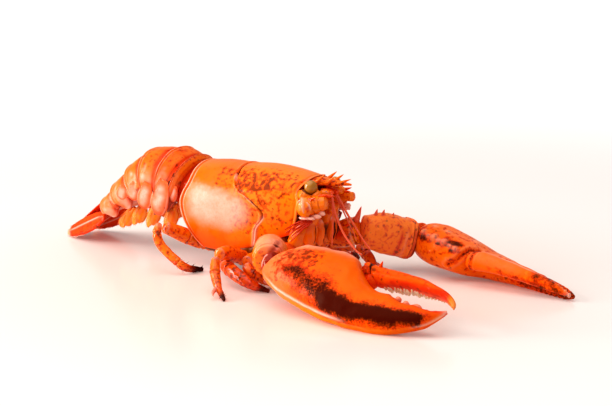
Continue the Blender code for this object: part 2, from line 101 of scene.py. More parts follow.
def paint_colour(name, description, default):
    return FloatVectorProperty(
        name=name, description=description, default=default, subtype="COLOR", min=0, max=1
    )


class LobsterColours(PropertyGroup):
    """Colours of the cooked shell and of what shows between its plates."""

    orange: paint_colour("Orange", "Main colour of the shell", (0.93, 0.102, 0.001))
    deep: paint_colour("Deep red", "Redder parts of the shell", (0.70, 0.026, 0.001))
    # Salmon is both the shell's own pale pink and the colour of painted highlights and sheen.
    salmon_and_sheen: paint_colour("Salmon", "Worn, pale pink parts of the shell", (0.92, 0.22, 0.085))
    brown: paint_colour("Brown", "Mottling of the claws", (0.20, 0.028, 0.001))
    # Black brown is also the colour of painted shade in cracks, creases and gaps.
    char: paint_colour("Black brown", "Darkest mottling and cracks", (0.035, 0.002, 0.001))
    # Cream is also the colour of painted highlights on rims, ridges and edges.
    cream: paint_colour("Cream", "Rims and scars", (0.93, 0.57, 0.455))
    tooth: paint_colour("Tooth", "Teeth of the right claw", (0.95, 0.80, 0.60))
    skin: paint_colour("Skin", "Soft skin between the shells", (0.95, 0.26, 0.004))
    eye: paint_colour("Eye", "Ball of the eye", (0.42, 0.18, 0.014))
    gold: paint_colour("Gold", "Bright part of the eye and roots of the teeth", (0.75, 0.42, 0.09))
    table: paint_colour("Table", "Surface that it lies on", (0.87, 0.772, 0.725))


# Numbers, curves and noise


def unit(vector):
    return vector / (np.linalg.norm(vector, axis=-1, keepdims=True) + 1e-12)


def step(low, high, value):
    """0 below low, 1 above high, and a smooth rise between."""
    t = np.clip((value - low) / (high - low), 0, 1)
    return t * t * (3 - 2 * t)


def window(value, low, high, soft):
    return step(low - soft, low + soft, value) * (1 - step(high - soft, high + soft, value))


def bump(distance, width):
    return np.exp(-((distance / width) ** 2))


def power(values, exponent):
    return np.sign(values) * np.abs(values) ** exponent


def smooth(rows, count):
    """Rows of numbers resampled to count rows along a Catmull-Rom curve through them."""
    rows = np.asarray(rows, float)
    padded = np.vstack((2 * rows[0] - rows[1], rows, 2 * rows[-1] - rows[-2]))
    at = np.linspace(0, len(rows) - 1, count)
    cell = np.minimum(at.astype(int), len(rows) - 2)
    t = (at - cell)[:, None]
    a, b, c, d = (padded[cell + k] for k in range(4))
    bend = (2 * a - 5 * b + 4 * c - d) * t**2 + (3 * b - a - 3 * c + d) * t**3
    return 0.5 * (2 * b + (c - a) * t + bend)


def table(x, stations, values):
    """A smooth curve through a few named sizes."""
    slopes = np.gradient(values, stations)
    cell = np.clip(np.searchsorted(stations, x) - 1, 0, len(stations) - 2)
    x0, x1 = np.take(stations, cell), np.take(stations, cell + 1)
    y0, y1 = np.take(values, cell), np.take(values, cell + 1)
    s0, s1 = np.take(slopes, cell), np.take(slopes, cell + 1)
    h = x1 - x0
    t = np.clip((x - x0) / h, 0, 1)
    blend = y0 * (1 + 2 * t) * (1 - t) ** 2 + y1 * t**2 * (3 - 2 * t)
    return blend + h * t * (1 - t) * (s0 * (1 - t) - s1 * t)


def scatter(cells, seed):
    """A repeatable number from 0 to 1 for each whole-number cell."""
    mixed = (cells.astype(np.int64) * (73856093, 19349663, 83492791)).sum(-1) + seed * 7919
    mixed = (mixed ^ (mixed >> 13)) * 1274126177 & 0xFFFFFFFF
    return ((mixed ^ (mixed >> 16)) & 0xFFFF) / 0xFFFF


def grain(points, size, seed=0):
    """Smooth noise from -1 to 1 whose lumps have this size."""
    scaled = points / size
    low = np.floor(scaled)
    t = scaled - low
    t = t * t * (3 - 2 * t)
    total = 0.0
    for corner in itertools.product((0, 1), repeat=3):
        weight = np.prod(np.where(corner, t, 1 - t), axis=-1)
        total = total + weight * scatter(low + corner, seed)
    return 2 * total - 1


# Surfaces made of closed rings


def facing(rings):
    """Outward unit normals of a grid of closed rings."""
    along = np.gradient(rings, axis=0)
    around = np.roll(rings, -1, 1) - np.roll(rings, 1, 1)
    out = unit(np.cross(along, around))
    return out if np.sum((rings - rings.mean(1, keepdims=True)) * out) > 0 else -out


def on_side(row, side):
    """A row that starts with x, y, z, as drawn for the left, on the side 1 or -1."""
    return (row[0], side * row[1], *row[2:])


def raised(rings, height):
    return rings + facing(rings) * height[..., None]


def oval(sides, squareness=2.0):
    """The cosine-like and sine-like factors of a superellipse's points."""
    turn = np.linspace(0, 2 * np.pi, sides, endpoint=False)
    return power(np.cos(turn), 2 / squareness), power(np.sin(turn), 2 / squareness)


def tube_rings(rows, sides, up=(0, 0, 1), squareness=2.0):
    """Rings round a curved centre line. Each row is x, y, z, half width and half height."""
    rows = np.asarray(rows, float)
    ahead = unit(np.gradient(rows[:, :3], axis=0))
    side = unit(np.cross(np.array(up, float), ahead))
    top = np.cross(ahead, side)
    across, rise = oval(sides, squareness)
    wide = across[None, :, None] * (side * rows[:, 3:4])[:, None, :]
    high = rise[None, :, None] * (top * rows[:, 4:5])[:, None, :]
    return rows[:, None, :3] + wide + high


def domed(rows, start, end, steps=6):
    """Tube rows with a rounded cap of this length added at each end."""
    rows = np.asarray(rows, float)
    first = cap_rows(rows[0], rows[0, :3] - rows[1, :3], start, steps)
    last = cap_rows(rows[-1], rows[-1, :3] - rows[-2, :3], end, steps)
    return np.vstack((first[::-1], rows, last))


def cap_rows(row, outward, length, steps):
    turns = np.linspace(0, np.pi / 2, steps + 1)[1:]
    turns[-1] -= 0.08
    made = [
        (*(row[:3] + unit(outward) * length * np.sin(turn)), *(row[3:5] * np.cos(turn)))
        for turn in turns
    ]
    return np.array(made)


def blade_rings(rows, sides, count, place, squareness=2.2, bias=0.0):
    """Rings of a flat piece between two edges, and each point's length, width and height in it.

    Rows hold outer x, y, inner x, y, half thickness and middle height. Place is the origin,
    the length direction and the width direction.
    """
    origin, ahead, across = (np.array(part, float) for part in place)
    ahead = unit(ahead)
    normal = unit(np.cross(ahead, across))
    across = np.cross(normal, ahead)
    spread, rise = oval(sides, squareness)
    outer_x, outer_y, inner_x, inner_y, thick, level = smooth(rows, count).T[..., None]
    length = (outer_x + inner_x) / 2 + spread * (outer_x - inner_x) / 2
    width = (outer_y + inner_y) / 2 + spread * (outer_y - inner_y) / 2
    height = level + thick * rise * (1 + bias * np.sign(rise))
    local = np.stack((length, width, height), axis=-1)
    return origin + local @ np.array((ahead, across, normal)), local


def ball(centre, radii, count=14, sides=20):
    """Rings of an ellipsoid."""
    turn = np.linspace(0.05, np.pi - 0.05, count)[:, None]
    spin = np.linspace(0, 2 * np.pi, sides, endpoint=False)
    shape = np.stack(
        (np.sin(turn) * np.cos(spin), np.sin(turn) * np.sin(spin), np.cos(turn) + 0 * spin), -1
    )
    return np.array(centre) + shape * np.array(radii)


def thorn(base, tip, radius, sides=12, bend=(0, 0, 0)):
    """Rings of a sharp spine from base to tip."""
    base, tip = np.array(base, float), np.array(tip, float)
    t = np.linspace(0, 1, 9)[:, None]
    line = base + (tip - base) * t + np.array(bend) * np.sin(t * np.pi)
    wide = radius * (1 - t) ** 0.75 + 0.03
    ahead = unit(tip - base)
    up = (0, 1, 0) if abs(ahead[2]) > 0.9 else (0, 0, 1)
    return tube_rings(np.hstack((line, wide, wide)), sides, up)


def bristles(roots, directions, length, radius, seed):
    """Thin tapering hairs, each a little different."""
    made = []
    for index, (root, direction) in enumerate(zip(roots, directions)):
        lean = np.array([scatter(np.array((index, axis, 3)), seed) - 0.5 for axis in range(3)])
        way = unit(np.array(direction) + 0.7 * lean)
        grow = length * (0.65 + 0.7 * scatter(np.array((index, 7, 5)), seed))
        made.append(thorn(root, np.array(root) + way * grow, radius, sides=5))
    return made


def painted(rings, **paint):
    """A closed grid of rings with what is painted on it, each from 0 to 1."""
    shape = rings.shape[:2]
    return rings, {key: np.broadcast_to(value, shape) for key, value in paint.items()}


def lumpy(rings, height, size=7.0, seed=1):
    return raised(rings, height * (grain(rings, size, seed) + 0.4 * grain(rings, size / 3, seed)))


def above_table(rings):
    """The same rings with nothing sunk into the table."""
    rings[..., 2] = np.maximum(rings[..., 2], TABLE_GAP)
    return rings


def clear_of_table(hairs):
    """The bristles that stay above the table."""
    return [hair for hair in hairs if hair[..., 2].min() > BRISTLE_GAP]


def closed_faces(count, sides, first):
    """Faces of a grid of closed rings, each end closed round one middle point."""
    k = np.arange(sides)
    after = (k + 1) % sides
    low = first + np.arange(count - 1)[:, None] * sides
    quads = np.stack((low + k, low + after, low + sides + after, low + sides + k), -1)
    last = first + (count - 1) * sides
    start = np.full(sides, last + sides)
    front = np.stack((start, first + after, first + k), -1)
    back = np.stack((start + 1, last + k, last + after), -1)
    return quads.reshape(-1, 4).tolist(), np.vstack((front, back)).tolist()


def build_skin(name, surfaces, finish, stands_for=()):
    """One shown piece from painted surfaces. It stands for the CAD nodes named."""
    points, faces, paint, first = [], [], {key: [] for key in PAINTS}, 0
    for rings, paints in surfaces:
        count, sides = rings.shape[:2]
        body = np.vstack((rings.reshape(-1, 3), rings[0].mean(0), rings[-1].mean(0)))
        quads, ends = closed_faces(count, sides, first)
        if np.sum((rings - rings.mean((0, 1))) * facing_of_faces(rings)) < 0:
            quads, ends = [q[::-1] for q in quads], [e[::-1] for e in ends]
        points.append(body)
        faces += quads + ends
        for key in PAINTS:
            values = paints.get(key, np.zeros((count, sides)))
            paint[key].append(np.concatenate((values.ravel(), [values[0].mean(), values[-1].mean()])))
        first += len(body)
    placed = (np.vstack(points) - ORIGIN) * MM
    mesh = bpy.data.meshes.new(name)
    mesh.from_pydata(placed.tolist(), [], faces)
    mesh.polygons.foreach_set("use_smooth", [True] * len(mesh.polygons))
    for key in PAINTS:
        values = np.clip(np.concatenate(paint[key]), 0, 1).astype(np.float32)
        if values.any():
            mesh.attributes.new(key, "FLOAT", "POINT").data.foreach_set("value", values)
    mesh.materials.append(finish)
    mesh.update()
    piece = bpy.data.objects.new(name, mesh)
    bpy.context.scene.collection.objects.link(piece)
    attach(piece, "root")
    if stands_for:
        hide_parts(*stands_for)
    return piece


def facing_of_faces(rings):
    """The direction that the faces of closed_faces turn to, at each point."""
    along = np.gradient(rings, axis=0)
    around = np.roll(rings, -1, 1) - np.roll(rings, 1, 1)
    return np.cross(around, along)


# Finishes


class Wire:
    """A value socket whose arithmetic adds Math nodes to its material."""

    def __init__(self, finish, socket):
        self.finish = finish
        self.socket = socket

    def math(self, operation, *others):
        inputs = dict(enumerate((self, *others)))
        return self.finish.value("ShaderNodeMath", {"operation": operation}, inputs)

    def __add__(self, other):
        return self.math("ADD", other)

    __radd__ = __add__

    def __mul__(self, other):
        return self.math("MULTIPLY", other)

    __rmul__ = __mul__

    def __sub__(self, other):
        return self.math("SUBTRACT", other)

    def __rsub__(self, other):
        return self.finish.value(
            "ShaderNodeMath", {"operation": "SUBTRACT"}, {0: other, 1: self}
        )

    def step(self, low, high):
        """0 below low, 1 above high, and a smooth rise between."""
        settings = {"interpolation_type": "SMOOTHSTEP", "clamp": True}
        inputs = {"Value": self, "From Min": low, "From Max": high}
        return self.finish.value("ShaderNodeMapRange", settings, inputs)


class Finish:
    """A material whose nodes are added by one method."""

    def __init__(self, name):
        self.material = bpy.data.materials.new(name)
        self.material.use_nodes = True
        self.tree = self.material.node_tree
        self.shader = self.tree.nodes["Principled BSDF"]
        self.where = self.value("ShaderNodeTexCoord", {}, {}, "Object")

    def link(self, socket, value):
        if isinstance(value, Wire):
            self.tree.links.new(value.socket, socket)
        elif isinstance(value, tuple) and len(value) == 3 and len(socket.default_value) == 4:
            socket.default_value = (*value, 1.0)
        else:
            socket.default_value = value

    def value(self, kind, settings, inputs, output=0):
        """Adds a node, sets it, feeds it, and gives one of its outputs."""
        node = self.tree.nodes.new(kind)
        for key, setting in settings.items():
            setattr(node, key, setting)
        for key, value in inputs.items():
            self.link(node.inputs[key], value)
        return Wire(self, node.outputs[output])

    def mix(self, mask, below, above):
        """The colour below, covered by the colour above where the mask is 1."""
        settings = {"data_type": "RGBA", "clamp_factor": True}
        return self.value("ShaderNodeMix", settings, {0: mask, 6: below, 7: above}, 2)

    def noise(self, size, detail=3.0):
        """Noise from 0 to 1 whose lumps have this size in millimetres."""
        inputs = {"Vector": self.where, "Scale": 1 / (size * MM), "Detail": detail, "Roughness": 0.55}
        return self.value("ShaderNodeTexNoise", {}, inputs)

    def cells(self, size, output):
        """Voronoi cells of this size in millimetres."""
        inputs = {"Vector": self.where, "Scale": 1 / (size * MM), "Randomness": 1.0}
        return self.value("ShaderNodeTexVoronoi", {}, inputs, output)

    def painted(self, name):
        settings = {"attribute_type": "GEOMETRY", "attribute_name": name}
        return self.value("ShaderNodeAttribute", settings, {}, "Fac")

    def feed(self, **inputs):
        for key, value in inputs.items():
            self.link(self.shader.inputs[key.replace("_", " ")], value)

    def bump(self, height, depth):
        """Feeds small bumps of this depth in millimetres to the shader's normal."""
        inputs = {"Strength": 1.0, "Distance": depth * MM, "Height": height}
        self.feed(Normal=self.value("ShaderNodeBump", {}, inputs))


def shell_finish(name, colours, redness, freckle_size=2.6, roughness=0.34, coat=0.1, pits=0.05):
    """Cooked shell: orange with redder clouds, painted mottling, freckles, pale rims, dark marks and painted
    shade in cracks and creases; its pale and pink paint also carry painted highlights.
    """
    finish = Finish(name)
    broad, middle, fine = finish.noise(17.0), finish.noise(4.2, 4.0), finish.noise(1.1, 3.0)
    orange, deep, salmon_and_sheen = (colours[key] for key in ("orange", "deep", "salmon_and_sheen"))
    brown, char, cream = (colours[key] for key in ("brown", "char", "cream"))
    amber = finish.painted("amber")
    base = finish.mix(amber, orange, colours["skin"])
    clouds = (broad.step(0.42, 0.72) * 0.55 + middle.step(0.5, 0.8) * 0.35) * redness
    base = finish.mix(clouds * (1 - amber * 0.35), base, deep)
    base = finish.mix(finish.painted("deep") * (middle.step(0.2, 0.6) * 0.4 + 0.6), base, deep)
    pink = finish.painted("pink") * (middle.step(0.25, 0.7) * 0.6 + 0.4)
    base = finish.mix(pink, base, salmon_and_sheen)
    freckle = finish.painted("freckle")
    spot = 1 - finish.cells(freckle_size, "Distance").step(0.16, 0.36)
    chance = finish.value("ShaderNodeSeparateColor", {}, {0: finish.cells(freckle_size, "Color")})
    spots = spot * (chance + freckle).step(1.0, 1.12) * fine.step(0.3, 0.55)
    blot = finish.noise(2.6, 1.0) * 0.9 + middle * 0.32 + fine * 0.08 + freckle * 0.4
    shown = freckle.step(0.05, 0.3)
    base = finish.mix(blot.step(0.78, 0.96) * shown * 0.7, base, deep)
    base = finish.mix(blot.step(0.93, 1.03) * shown * 0.8, base, brown)
    base = finish.mix(spots * 0.75, base, brown)
    patch = finish.painted("patch")
    ragged = patch + (middle - 0.5) * 0.7 + (fine - 0.5) * 0.75
    stain = ragged.step(0.34, 0.62) * patch.step(0.02, 0.12)
    dark_stain = (ragged + (broad - 0.5) * 0.3).step(0.46, 0.78)
    base = finish.mix(ragged.step(0.12, 0.5) * patch.step(0.02, 0.12) * 0.8, base, deep)
    base = finish.mix(stain * 0.95, base, finish.mix(dark_stain, brown, char))
    base = finish.mix(finish.painted("pale") * (fine.step(0.2, 0.6) * 0.3 + 0.7), base, cream)
    # The dark paint: dark marks of the shell, and painted shade in cracks, creases, gaps and hollows.
    crack = finish.painted("dark")
    base = finish.mix((crack + (fine - 0.5) * 0.3 * crack).step(0.15, 0.75), base, char)
    finish.feed(Base_Color=base, Roughness=fine * 0.16 + (roughness - 0.08))
    bare = (1 - stain) * (1 - crack.step(0.2, 0.8))
    finish.feed(Specular_IOR_Level=0.06, Coat_Weight=bare * coat)
    finish.feed(Coat_Roughness=0.12, Coat_IOR=2.2)
    finish.feed(Specular_Tint=(1.0, 0.5, 0.2), Coat_Tint=(1.0, 0.9, 0.82))
    finish.feed(Subsurface_Weight=0.06, Subsurface_Radius=(0.004, 0.0012, 0.0004))
    finish.bump(fine * 0.5 + middle * 1.2 - stain * 0.4, pits)
    return finish.material


def skin_finish(name, colours):
    """Moist yellow-orange skin of the swimming legs and joints."""
    finish = Finish(name)
    middle, fine = finish.noise(3.0), finish.noise(0.9)
    base = finish.mix(middle.step(0.35, 0.75) * 0.7, colours["skin"], colours["orange"])
    base = finish.mix(finish.painted("pale"), base, colours["cream"])
    base = finish.mix(finish.painted("deep"), base, colours["deep"])
    base = finish.mix(finish.painted("dark"), base, colours["char"])
    finish.feed(Base_Color=base, Roughness=fine * 0.2 + 0.25, Coat_Weight=0.1, Coat_Roughness=0.15)
    finish.feed(Specular_IOR_Level=0.15, Specular_Tint=(1.0, 0.6, 0.3))
    finish.feed(Subsurface_Weight=0.15, Subsurface_Radius=(0.006, 0.002, 0.0005))
    finish.bump(fine, 0.08)
    return finish.material


def tooth_finish(name, colours):
    """Pale teeth with yellower patches."""
    finish = Finish(name)
    yellow = finish.noise(2.4).step(0.35, 0.7) * 0.6
    finish.feed(Base_Color=finish.mix(yellow, colours["tooth"], colours["gold"]), Roughness=0.35)
    finish.feed(Subsurface_Weight=0.2, Subsurface_Radius=(0.003, 0.002, 0.001))
    finish.feed(Specular_IOR_Level=0.3)
    return finish.material


def eye_finish(name, colours):
    """Polished brown ball with a golden flush round its stalk."""
    finish = Finish(name)
    middle = finish.noise(1.6)
    gold = (finish.painted("pale") + (middle - 0.5) * 0.5).step(0.25, 0.8)
    base = finish.mix(gold, colours["eye"], colours["gold"])
    base = finish.mix(finish.painted("deep"), base, colours["deep"])
    finish.feed(Base_Color=base, Roughness=0.12, Coat_Weight=0.7, Coat_Roughness=0.04)
    finish.feed(Coat_Tint=(1.0, 0.85, 0.6), Specular_IOR_Level=0.15)
    return finish.material


def finishes():
    """The materials, made once and then shared by name."""
    if "shell_gloss" not in bpy.data.materials:
        chosen = bpy.context.scene.lobster_colours
        colours = {key: tuple(getattr(chosen, key)) for key in LobsterColours.__annotations__}
        shell_finish("shell_gloss", colours, 0.6, coat=0.05)
        shell_finish("claw_gloss", colours, 0.35, freckle_size=3.0, roughness=0.3, coat=0.02)
        shell_finish("leg_gloss", colours, 0.42, freckle_size=2.0, roughness=0.22, coat=0.2, pits=0.14)
        skin_finish("moist_skin", colours)
        eye_finish("eye_gloss", colours)
        tooth_finish("tooth_enamel", colours)
    return bpy.data.materials


# The body shell

TOP = ((-3, 15, 33, 50, 66, 82), (60.8, 62.8, 62.8, 63.8, 62.8, 60.0))
WIDEST = ((-3, 15, 33, 50, 66, 82), (0.94, 1.0, 1.0, 0.97, 0.89, 0.75))
MIDDLE = ((-3, 15, 33, 50, 66, 82), (37.0, 36.0, 36.0, 36.5, 39.0, 43.0))
EDGE = ((-3, 20, 33, 48, 62, 75, 82), (13.5, 12.0, 12.2, 16.5, 22.0, 27.5, 31.0))
HALF_WIDTH = 25.0
ARCH = 6.0
SHELL_SIDES = 280
SHELL_ROWS = 100

# Where the rear rim, the neck groove and the front rim lie, against the angle down from the back.
RIM_ANGLES = np.radians((0, 30, 60, 75, 90, 104, 115, 131, 146, 180))
REAR_RIM = (0.0, 0.8, 0.8, -1.8, -3.0, 0.2, 5.0, 11.5, 13.0, 14.0)
NECK_GROOVE = (33.0, 34.5, 40.5, 51.5, 58.8, 54.0, 53.0, 51.5, 50.0, 48.0)
FRONT_RIM = (82.0, 81.5, 79.5, 81.3, 80.8, 80.0, 78.8, 76.5, 72.0, 54.0)
ROSTRUM = (
    (72, 0, 57.6, 10.0, 2.4),
    (82, 0, 57.2, 7.2, 2.2),
    (92, 0, 57.2, 4.2, 1.8),
    (104.5, 0, 57.3, 0.7, 0.6),
)
STERNUM = (
    (9, 0, 11.2, 7.5, 2.6),
    (25, 0, 10.8, 11.6, 3.0),
    (48, 0, 11.6, 11.6, 3.2),
    (70, 0, 15.6, 9.0, 3.4),
)
EYE_SPOT = np.array((85.4, -13.6, 55.8))

# An open end's two inward rings, as size and depth, and what is painted on them: deep red, darkened as
# painted shade.
LIP = ((0.97, 0.6), (0.9, 3.0))
LIP_PAINT = {"dark": 0.35, "deep": 0.8}
BEAK_SPINES = (
    ((85, 5.6, 57.6), (91.0, 6.4, 62.6), 1.3),
    ((91, 3.8, 57.5), (96.8, 4.8, 61.8), 1.2),
    ((97, 1.8, 57.4), (102.8, 3.4, 59.8), 1.0),
    ((74, 11.0, 57.0), (79.5, 11.6, 58.6), 1.3),
    ((79.4, 16.4, 49.0), (83.6, 17.0, 50.4), 1.2),
    ((77.0, 17.6, 40.0), (82.0, 17.8, 40.6), 1.1),
)
# Dark lumps along each side under the shell's lower edge, as painted shade there: x, y, z, half width and
# half height.
UNDER_SHELL_SHADE = (
    (12, 15, 12.8, 3.6, 3.0),
    (30, 17.5, 12.6, 4.0, 3.4),
    (50, 18, 15.5, 3.8, 3.6),
    (70, 15, 24, 3.2, 3.4),
)


def carapace_section(angle, x):
    """Y and Z of the shell at this angle from the back's middle line and this X."""
    top, middle, edge = table(x, *TOP), table(x, *MIDDLE), table(x, *EDGE)
    half = HALF_WIDTH * table(x, *WIDEST)
    turned = np.abs(angle)
    y_top = half * power(np.sin(turned), 0.95)
    z_top = middle + (top - middle) * power(np.cos(turned), 0.9)
    low = np.clip((turned / (np.pi / 2) - 1) / 0.62, 0, 1)
    under = np.clip((turned / (np.pi / 2) - 1.62) / 0.38, 0, 1)
    y_low = half * (1 - 0.17 * low**2) * (1 - under)
    z_low = middle + (edge - middle) * np.sin(low * np.pi / 2) ** 0.9
    z_low += ARCH * np.sin(under * np.pi / 2)
    upper = turned <= np.pi / 2
    return np.sign(angle) * np.where(upper, y_top, y_low), np.where(upper, z_top, z_low)


def shell_surface(sizes):
    """The body shell with its rolled rims and neck crack, painted with pale marks and highlights, and with
    painted shade in the crack and the eye sockets.
    """
    angle = np.linspace(-np.pi, np.pi, SHELL_SIDES, endpoint=False)[None, :]
    rear, neck, front = (
        table(np.abs(angle), RIM_ANGLES, values) for values in (REAR_RIM, NECK_GROOVE, FRONT_RIM)
    )
    even = np.linspace(0, 1, SHELL_ROWS)
    dense = even - 0.8 * np.sin(2 * np.pi * even) / (2 * np.pi)
    t = np.concatenate((dense, 1 + dense[1:]))[:, None]
    x = rear + (neck - rear) * np.minimum(t, 1) + (front - neck) * np.maximum(t - 1, 0)
    y, z = carapace_section(angle + 0 * x, x)
    rings = np.stack((x, y, z), -1)
    down = np.degrees(np.abs(angle)) + 0 * x
    from_rear, from_neck, from_front = x - rear, x - neck, front - x
    roll, groove = sizes.rim_roll / MM, sizes.groove_depth / MM
    cut = table(down, (0, 46, 56, 66, 74, 94, 120, 140, 180), (1, 1, 0.35, 0.5, 1, 1, 0.4, 0, 0))
    height = roll * (bump(from_rear - 0.7, 0.6) + bump(from_front - 0.8, 0.6))
    height -= 0.5 * bump(from_rear - 2.1, 0.45) + 0.3 * bump(from_front - 2.0, 0.6)
    height += cut * (0.3 * bump(from_neck + 1.3, 0.8) - groove * bump(from_neck, 0.5))
    height += 0.8 * bump(from_neck - 0.2, 1.7) * window(down, 98, 140, 5)
    height -= 0.3 * bump(y, 0.7) * (down < 30) * window(x, 6, 72, 3)
    height *= 1 - step(126, 150, down)
    rings = lumpy(raised(rings, height), 0.5 * sizes.lump_height / MM, 9.0)
    shade = shell_paint(rings, x, down, from_rear, from_neck, from_front)
    return closed_in(rings, shade)


def shell_paint(rings, x, down, from_rear, from_neck, from_front):
    """Freckles, pale rims with painted highlights, a painted highlight on each side, pale marks and painted
    highlights by the neck crack, and painted shade in the crack and the eye sockets.
    """
    on_right = rings * np.where(rings[..., 1:2] > 0, (1, -1, 1), 1)
    socket = np.linalg.norm(on_right - EYE_SPOT, axis=2)
    rough = grain(rings, 1.6, 4)
    freckle = window(x, 38, 77, 5) * window(down, 18, 110, 12) * 0.42 + 0.06
    freckle += 0.3 * window(x, 36, 62, 5) * window(down, 30, 62, 8)
    freckle += window(x, 20, 36, 4) * window(down, 22, 60, 10) * 0.36
    # Pale lines on the rolled rims and just inside the rear rim: painted highlights.
    pale = 0.85 * bump(from_rear - 0.55, 0.4) + 0.15 * bump(from_front - 0.7, 0.4)
    pale += 0.5 * bump(from_rear - 3.0, 0.5) * window(down, 30, 110, 12)
    pale += window(down, 36, 47, 3) * bump(from_neck + 0.6, 0.9) * (0.4 + 0.5 * rough)
    # A painted highlight along the lip of the crack, and a broad painted highlight on the ridge below it.
    pale += 0.4 * window(down, 66, 80, 3) * bump(from_neck + 0.75, 0.45)
    pale += window(down, 92, 140, 4) * bump(from_neck - 0.1, 1.2) * 0.85
    # A painted highlight on each side of the shell, with a ragged edge: it is painted pale and pink and takes
    # the amber away.
    cloud = 6 * (grain(rings, 7.0, 15) - 0.5) + 2 * (rough - 0.5)
    painted_highlight_top = 55 + 18 * step(16, 48, x)
    painted_highlight = window(x + 0.3 * cloud, 4, 46, 6) * window(down + cloud, painted_highlight_top, 94, 10)
    pale += painted_highlight * (0.62 + 0.1 * rough)
    # Pink along the top of the shell: partly its own salmon colour and partly painted light from above.
    pink = (1 - step(12, 42, down)) * 0.45 + window(x, 48, 68, 6) * window(down, 62, 96, 8) * 0.2
    pink += 0.8 * painted_highlight
    # Painted shade along the neck crack.
    dark = window(down, -9, 38, 3) * bump(from_neck, 0.42)
    dark += window(down, 44, 62, 4) * bump(from_neck + 1.0, 0.5) * (0.45 + 0.4 * rough)
    dark += window(down, 72, 94, 3) * bump(from_neck - 0.3, 0.38)
    # Painted shade in the eye sockets.
    dark += 0.8 * (1 - step(4.3, 5.6, socket))
    deep = 0.5 * bump(from_rear - 2.2, 0.6) + 0.6 * bump(socket - 7.6, 1.4)
    outside = down < 150
    amber = (0.35 + 0.35 * step(20, 55, x) - 0.3 * step(100, 130, down)) * (1 - painted_highlight)
    shade = {"amber": amber, "freckle": freckle, "pink": pink}
    return shade | {"pale": pale * outside, "dark": dark * outside, "deep": deep}


def lip(edge, inward):
    """Two rings that lead an open edge inward."""
    centre = edge.mean(0)
    return [centre + (edge - centre) * size + (inward * depth, 0, 0) for size, depth in LIP]


def closed_in(rings, shade):
    """Turns both open ends of a shell inward, deep red and painted shade inside."""
    rings = np.concatenate((lip(rings[0], 1)[::-1], rings, lip(rings[-1], -1)))
    made = {}
    for key, values in shade.items():
        inside = np.full((len(LIP), rings.shape[1]), LIP_PAINT.get(key, 0.0))
        made[key] = np.vstack((inside, values, inside))
    return painted(rings, **made)


def build_body_shell(sizes):
    gloss = finishes()["shell_gloss"]
    beak = tube_rings(domed(smooth(ROSTRUM, 40), 0.3, 0.8), 40, squareness=2.6)
    surfaces = [shell_surface(sizes), painted(lumpy(beak, 0.12, 4.0), amber=0.5, deep=0.15, freckle=0.5)]
    for side in (-1, 1):
        for base, tip, radius in BEAK_SPINES:
            spine = thorn(on_side(base, side), on_side(tip, side), radius)
            surfaces.append(painted(spine, deep=0.2, amber=0.5, pink=0.2))
    build_skin("body_shell", surfaces, gloss, ["carapace"])
    breast = tube_rings(domed(smooth(STERNUM, 40), 1.5, 1.5), 48, squareness=3.0)
    # The breast plate is painted deep red and darkened, and the lumps beside it are painted dark: painted
    # shade under the shell.
    surfaces = [painted(lumpy(breast, 0.3, 4.0), deep=0.7, dark=0.6)]
    for side in (-1, 1):
        rows = [on_side(row, side) for row in UNDER_SHELL_SHADE]
        shade_lumps = tube_rings(domed(smooth(rows, 60), 1.5, 1.5), 30)
        surfaces.append(painted(lumpy(shade_lumps, 0.7, 3.0, 5), dark=0.85))
    build_skin("breast_plate", surfaces, finishes()["moist_skin"], ["sternum"])


# The tail: six hinged segments, the folded fan and the swimming legs

TAIL_LINE = (
    (-0.2, 60.2),
    (-8.0, 62.6),
    (-22.5, 66.0),
    (-42.0, 63.0),
    (-56.5, 52.0),
    (-69.5, 39.5),
    (-79.5, 28.5),
)
TAIL_HALF_WIDTH = (21.8, 22.5, 23.6, 23.4, 22.2, 20.2, 17.4)
TAIL_SIDE_DEPTH = (20.0, 21.0, 22.0, 20.0, 17.0, 14.5, 11.0)
TAIL_BELLY_DEPTH = (26.0, 27.5, 28.0, 23.5, 18.5, 15.5, 12.0)
FLAP_DEPTH = (33.0, 39.0, 34.0, 28.0, 24.0, 19.0)
FLAP_THICKNESS = 2.4
FLAP_TAPER = 0.3
TAIL_STEPS = 20


def tail_frame(samples, station):
    """The back line's points, inward directions, half widths, side and belly depths at stations."""
    along = np.arange(len(samples)) / TAIL_STEPS
    x, z, half, side, belly = (np.interp(station, along, column) for column in samples.T)
    before, after = np.clip(station - 0.2, 0, along[-1]), np.clip(station + 0.2, 0, along[-1])
    dx = np.interp(after, along, samples[:, 0]) - np.interp(before, along, samples[:, 0])
    dz = np.interp(after, along, samples[:, 1]) - np.interp(before, along, samples[:, 1])
    size = np.hypot(dx, dz)
    return np.stack((x, z), -1), np.stack((-dz, dx), -1) / size[..., None], half, side, belly


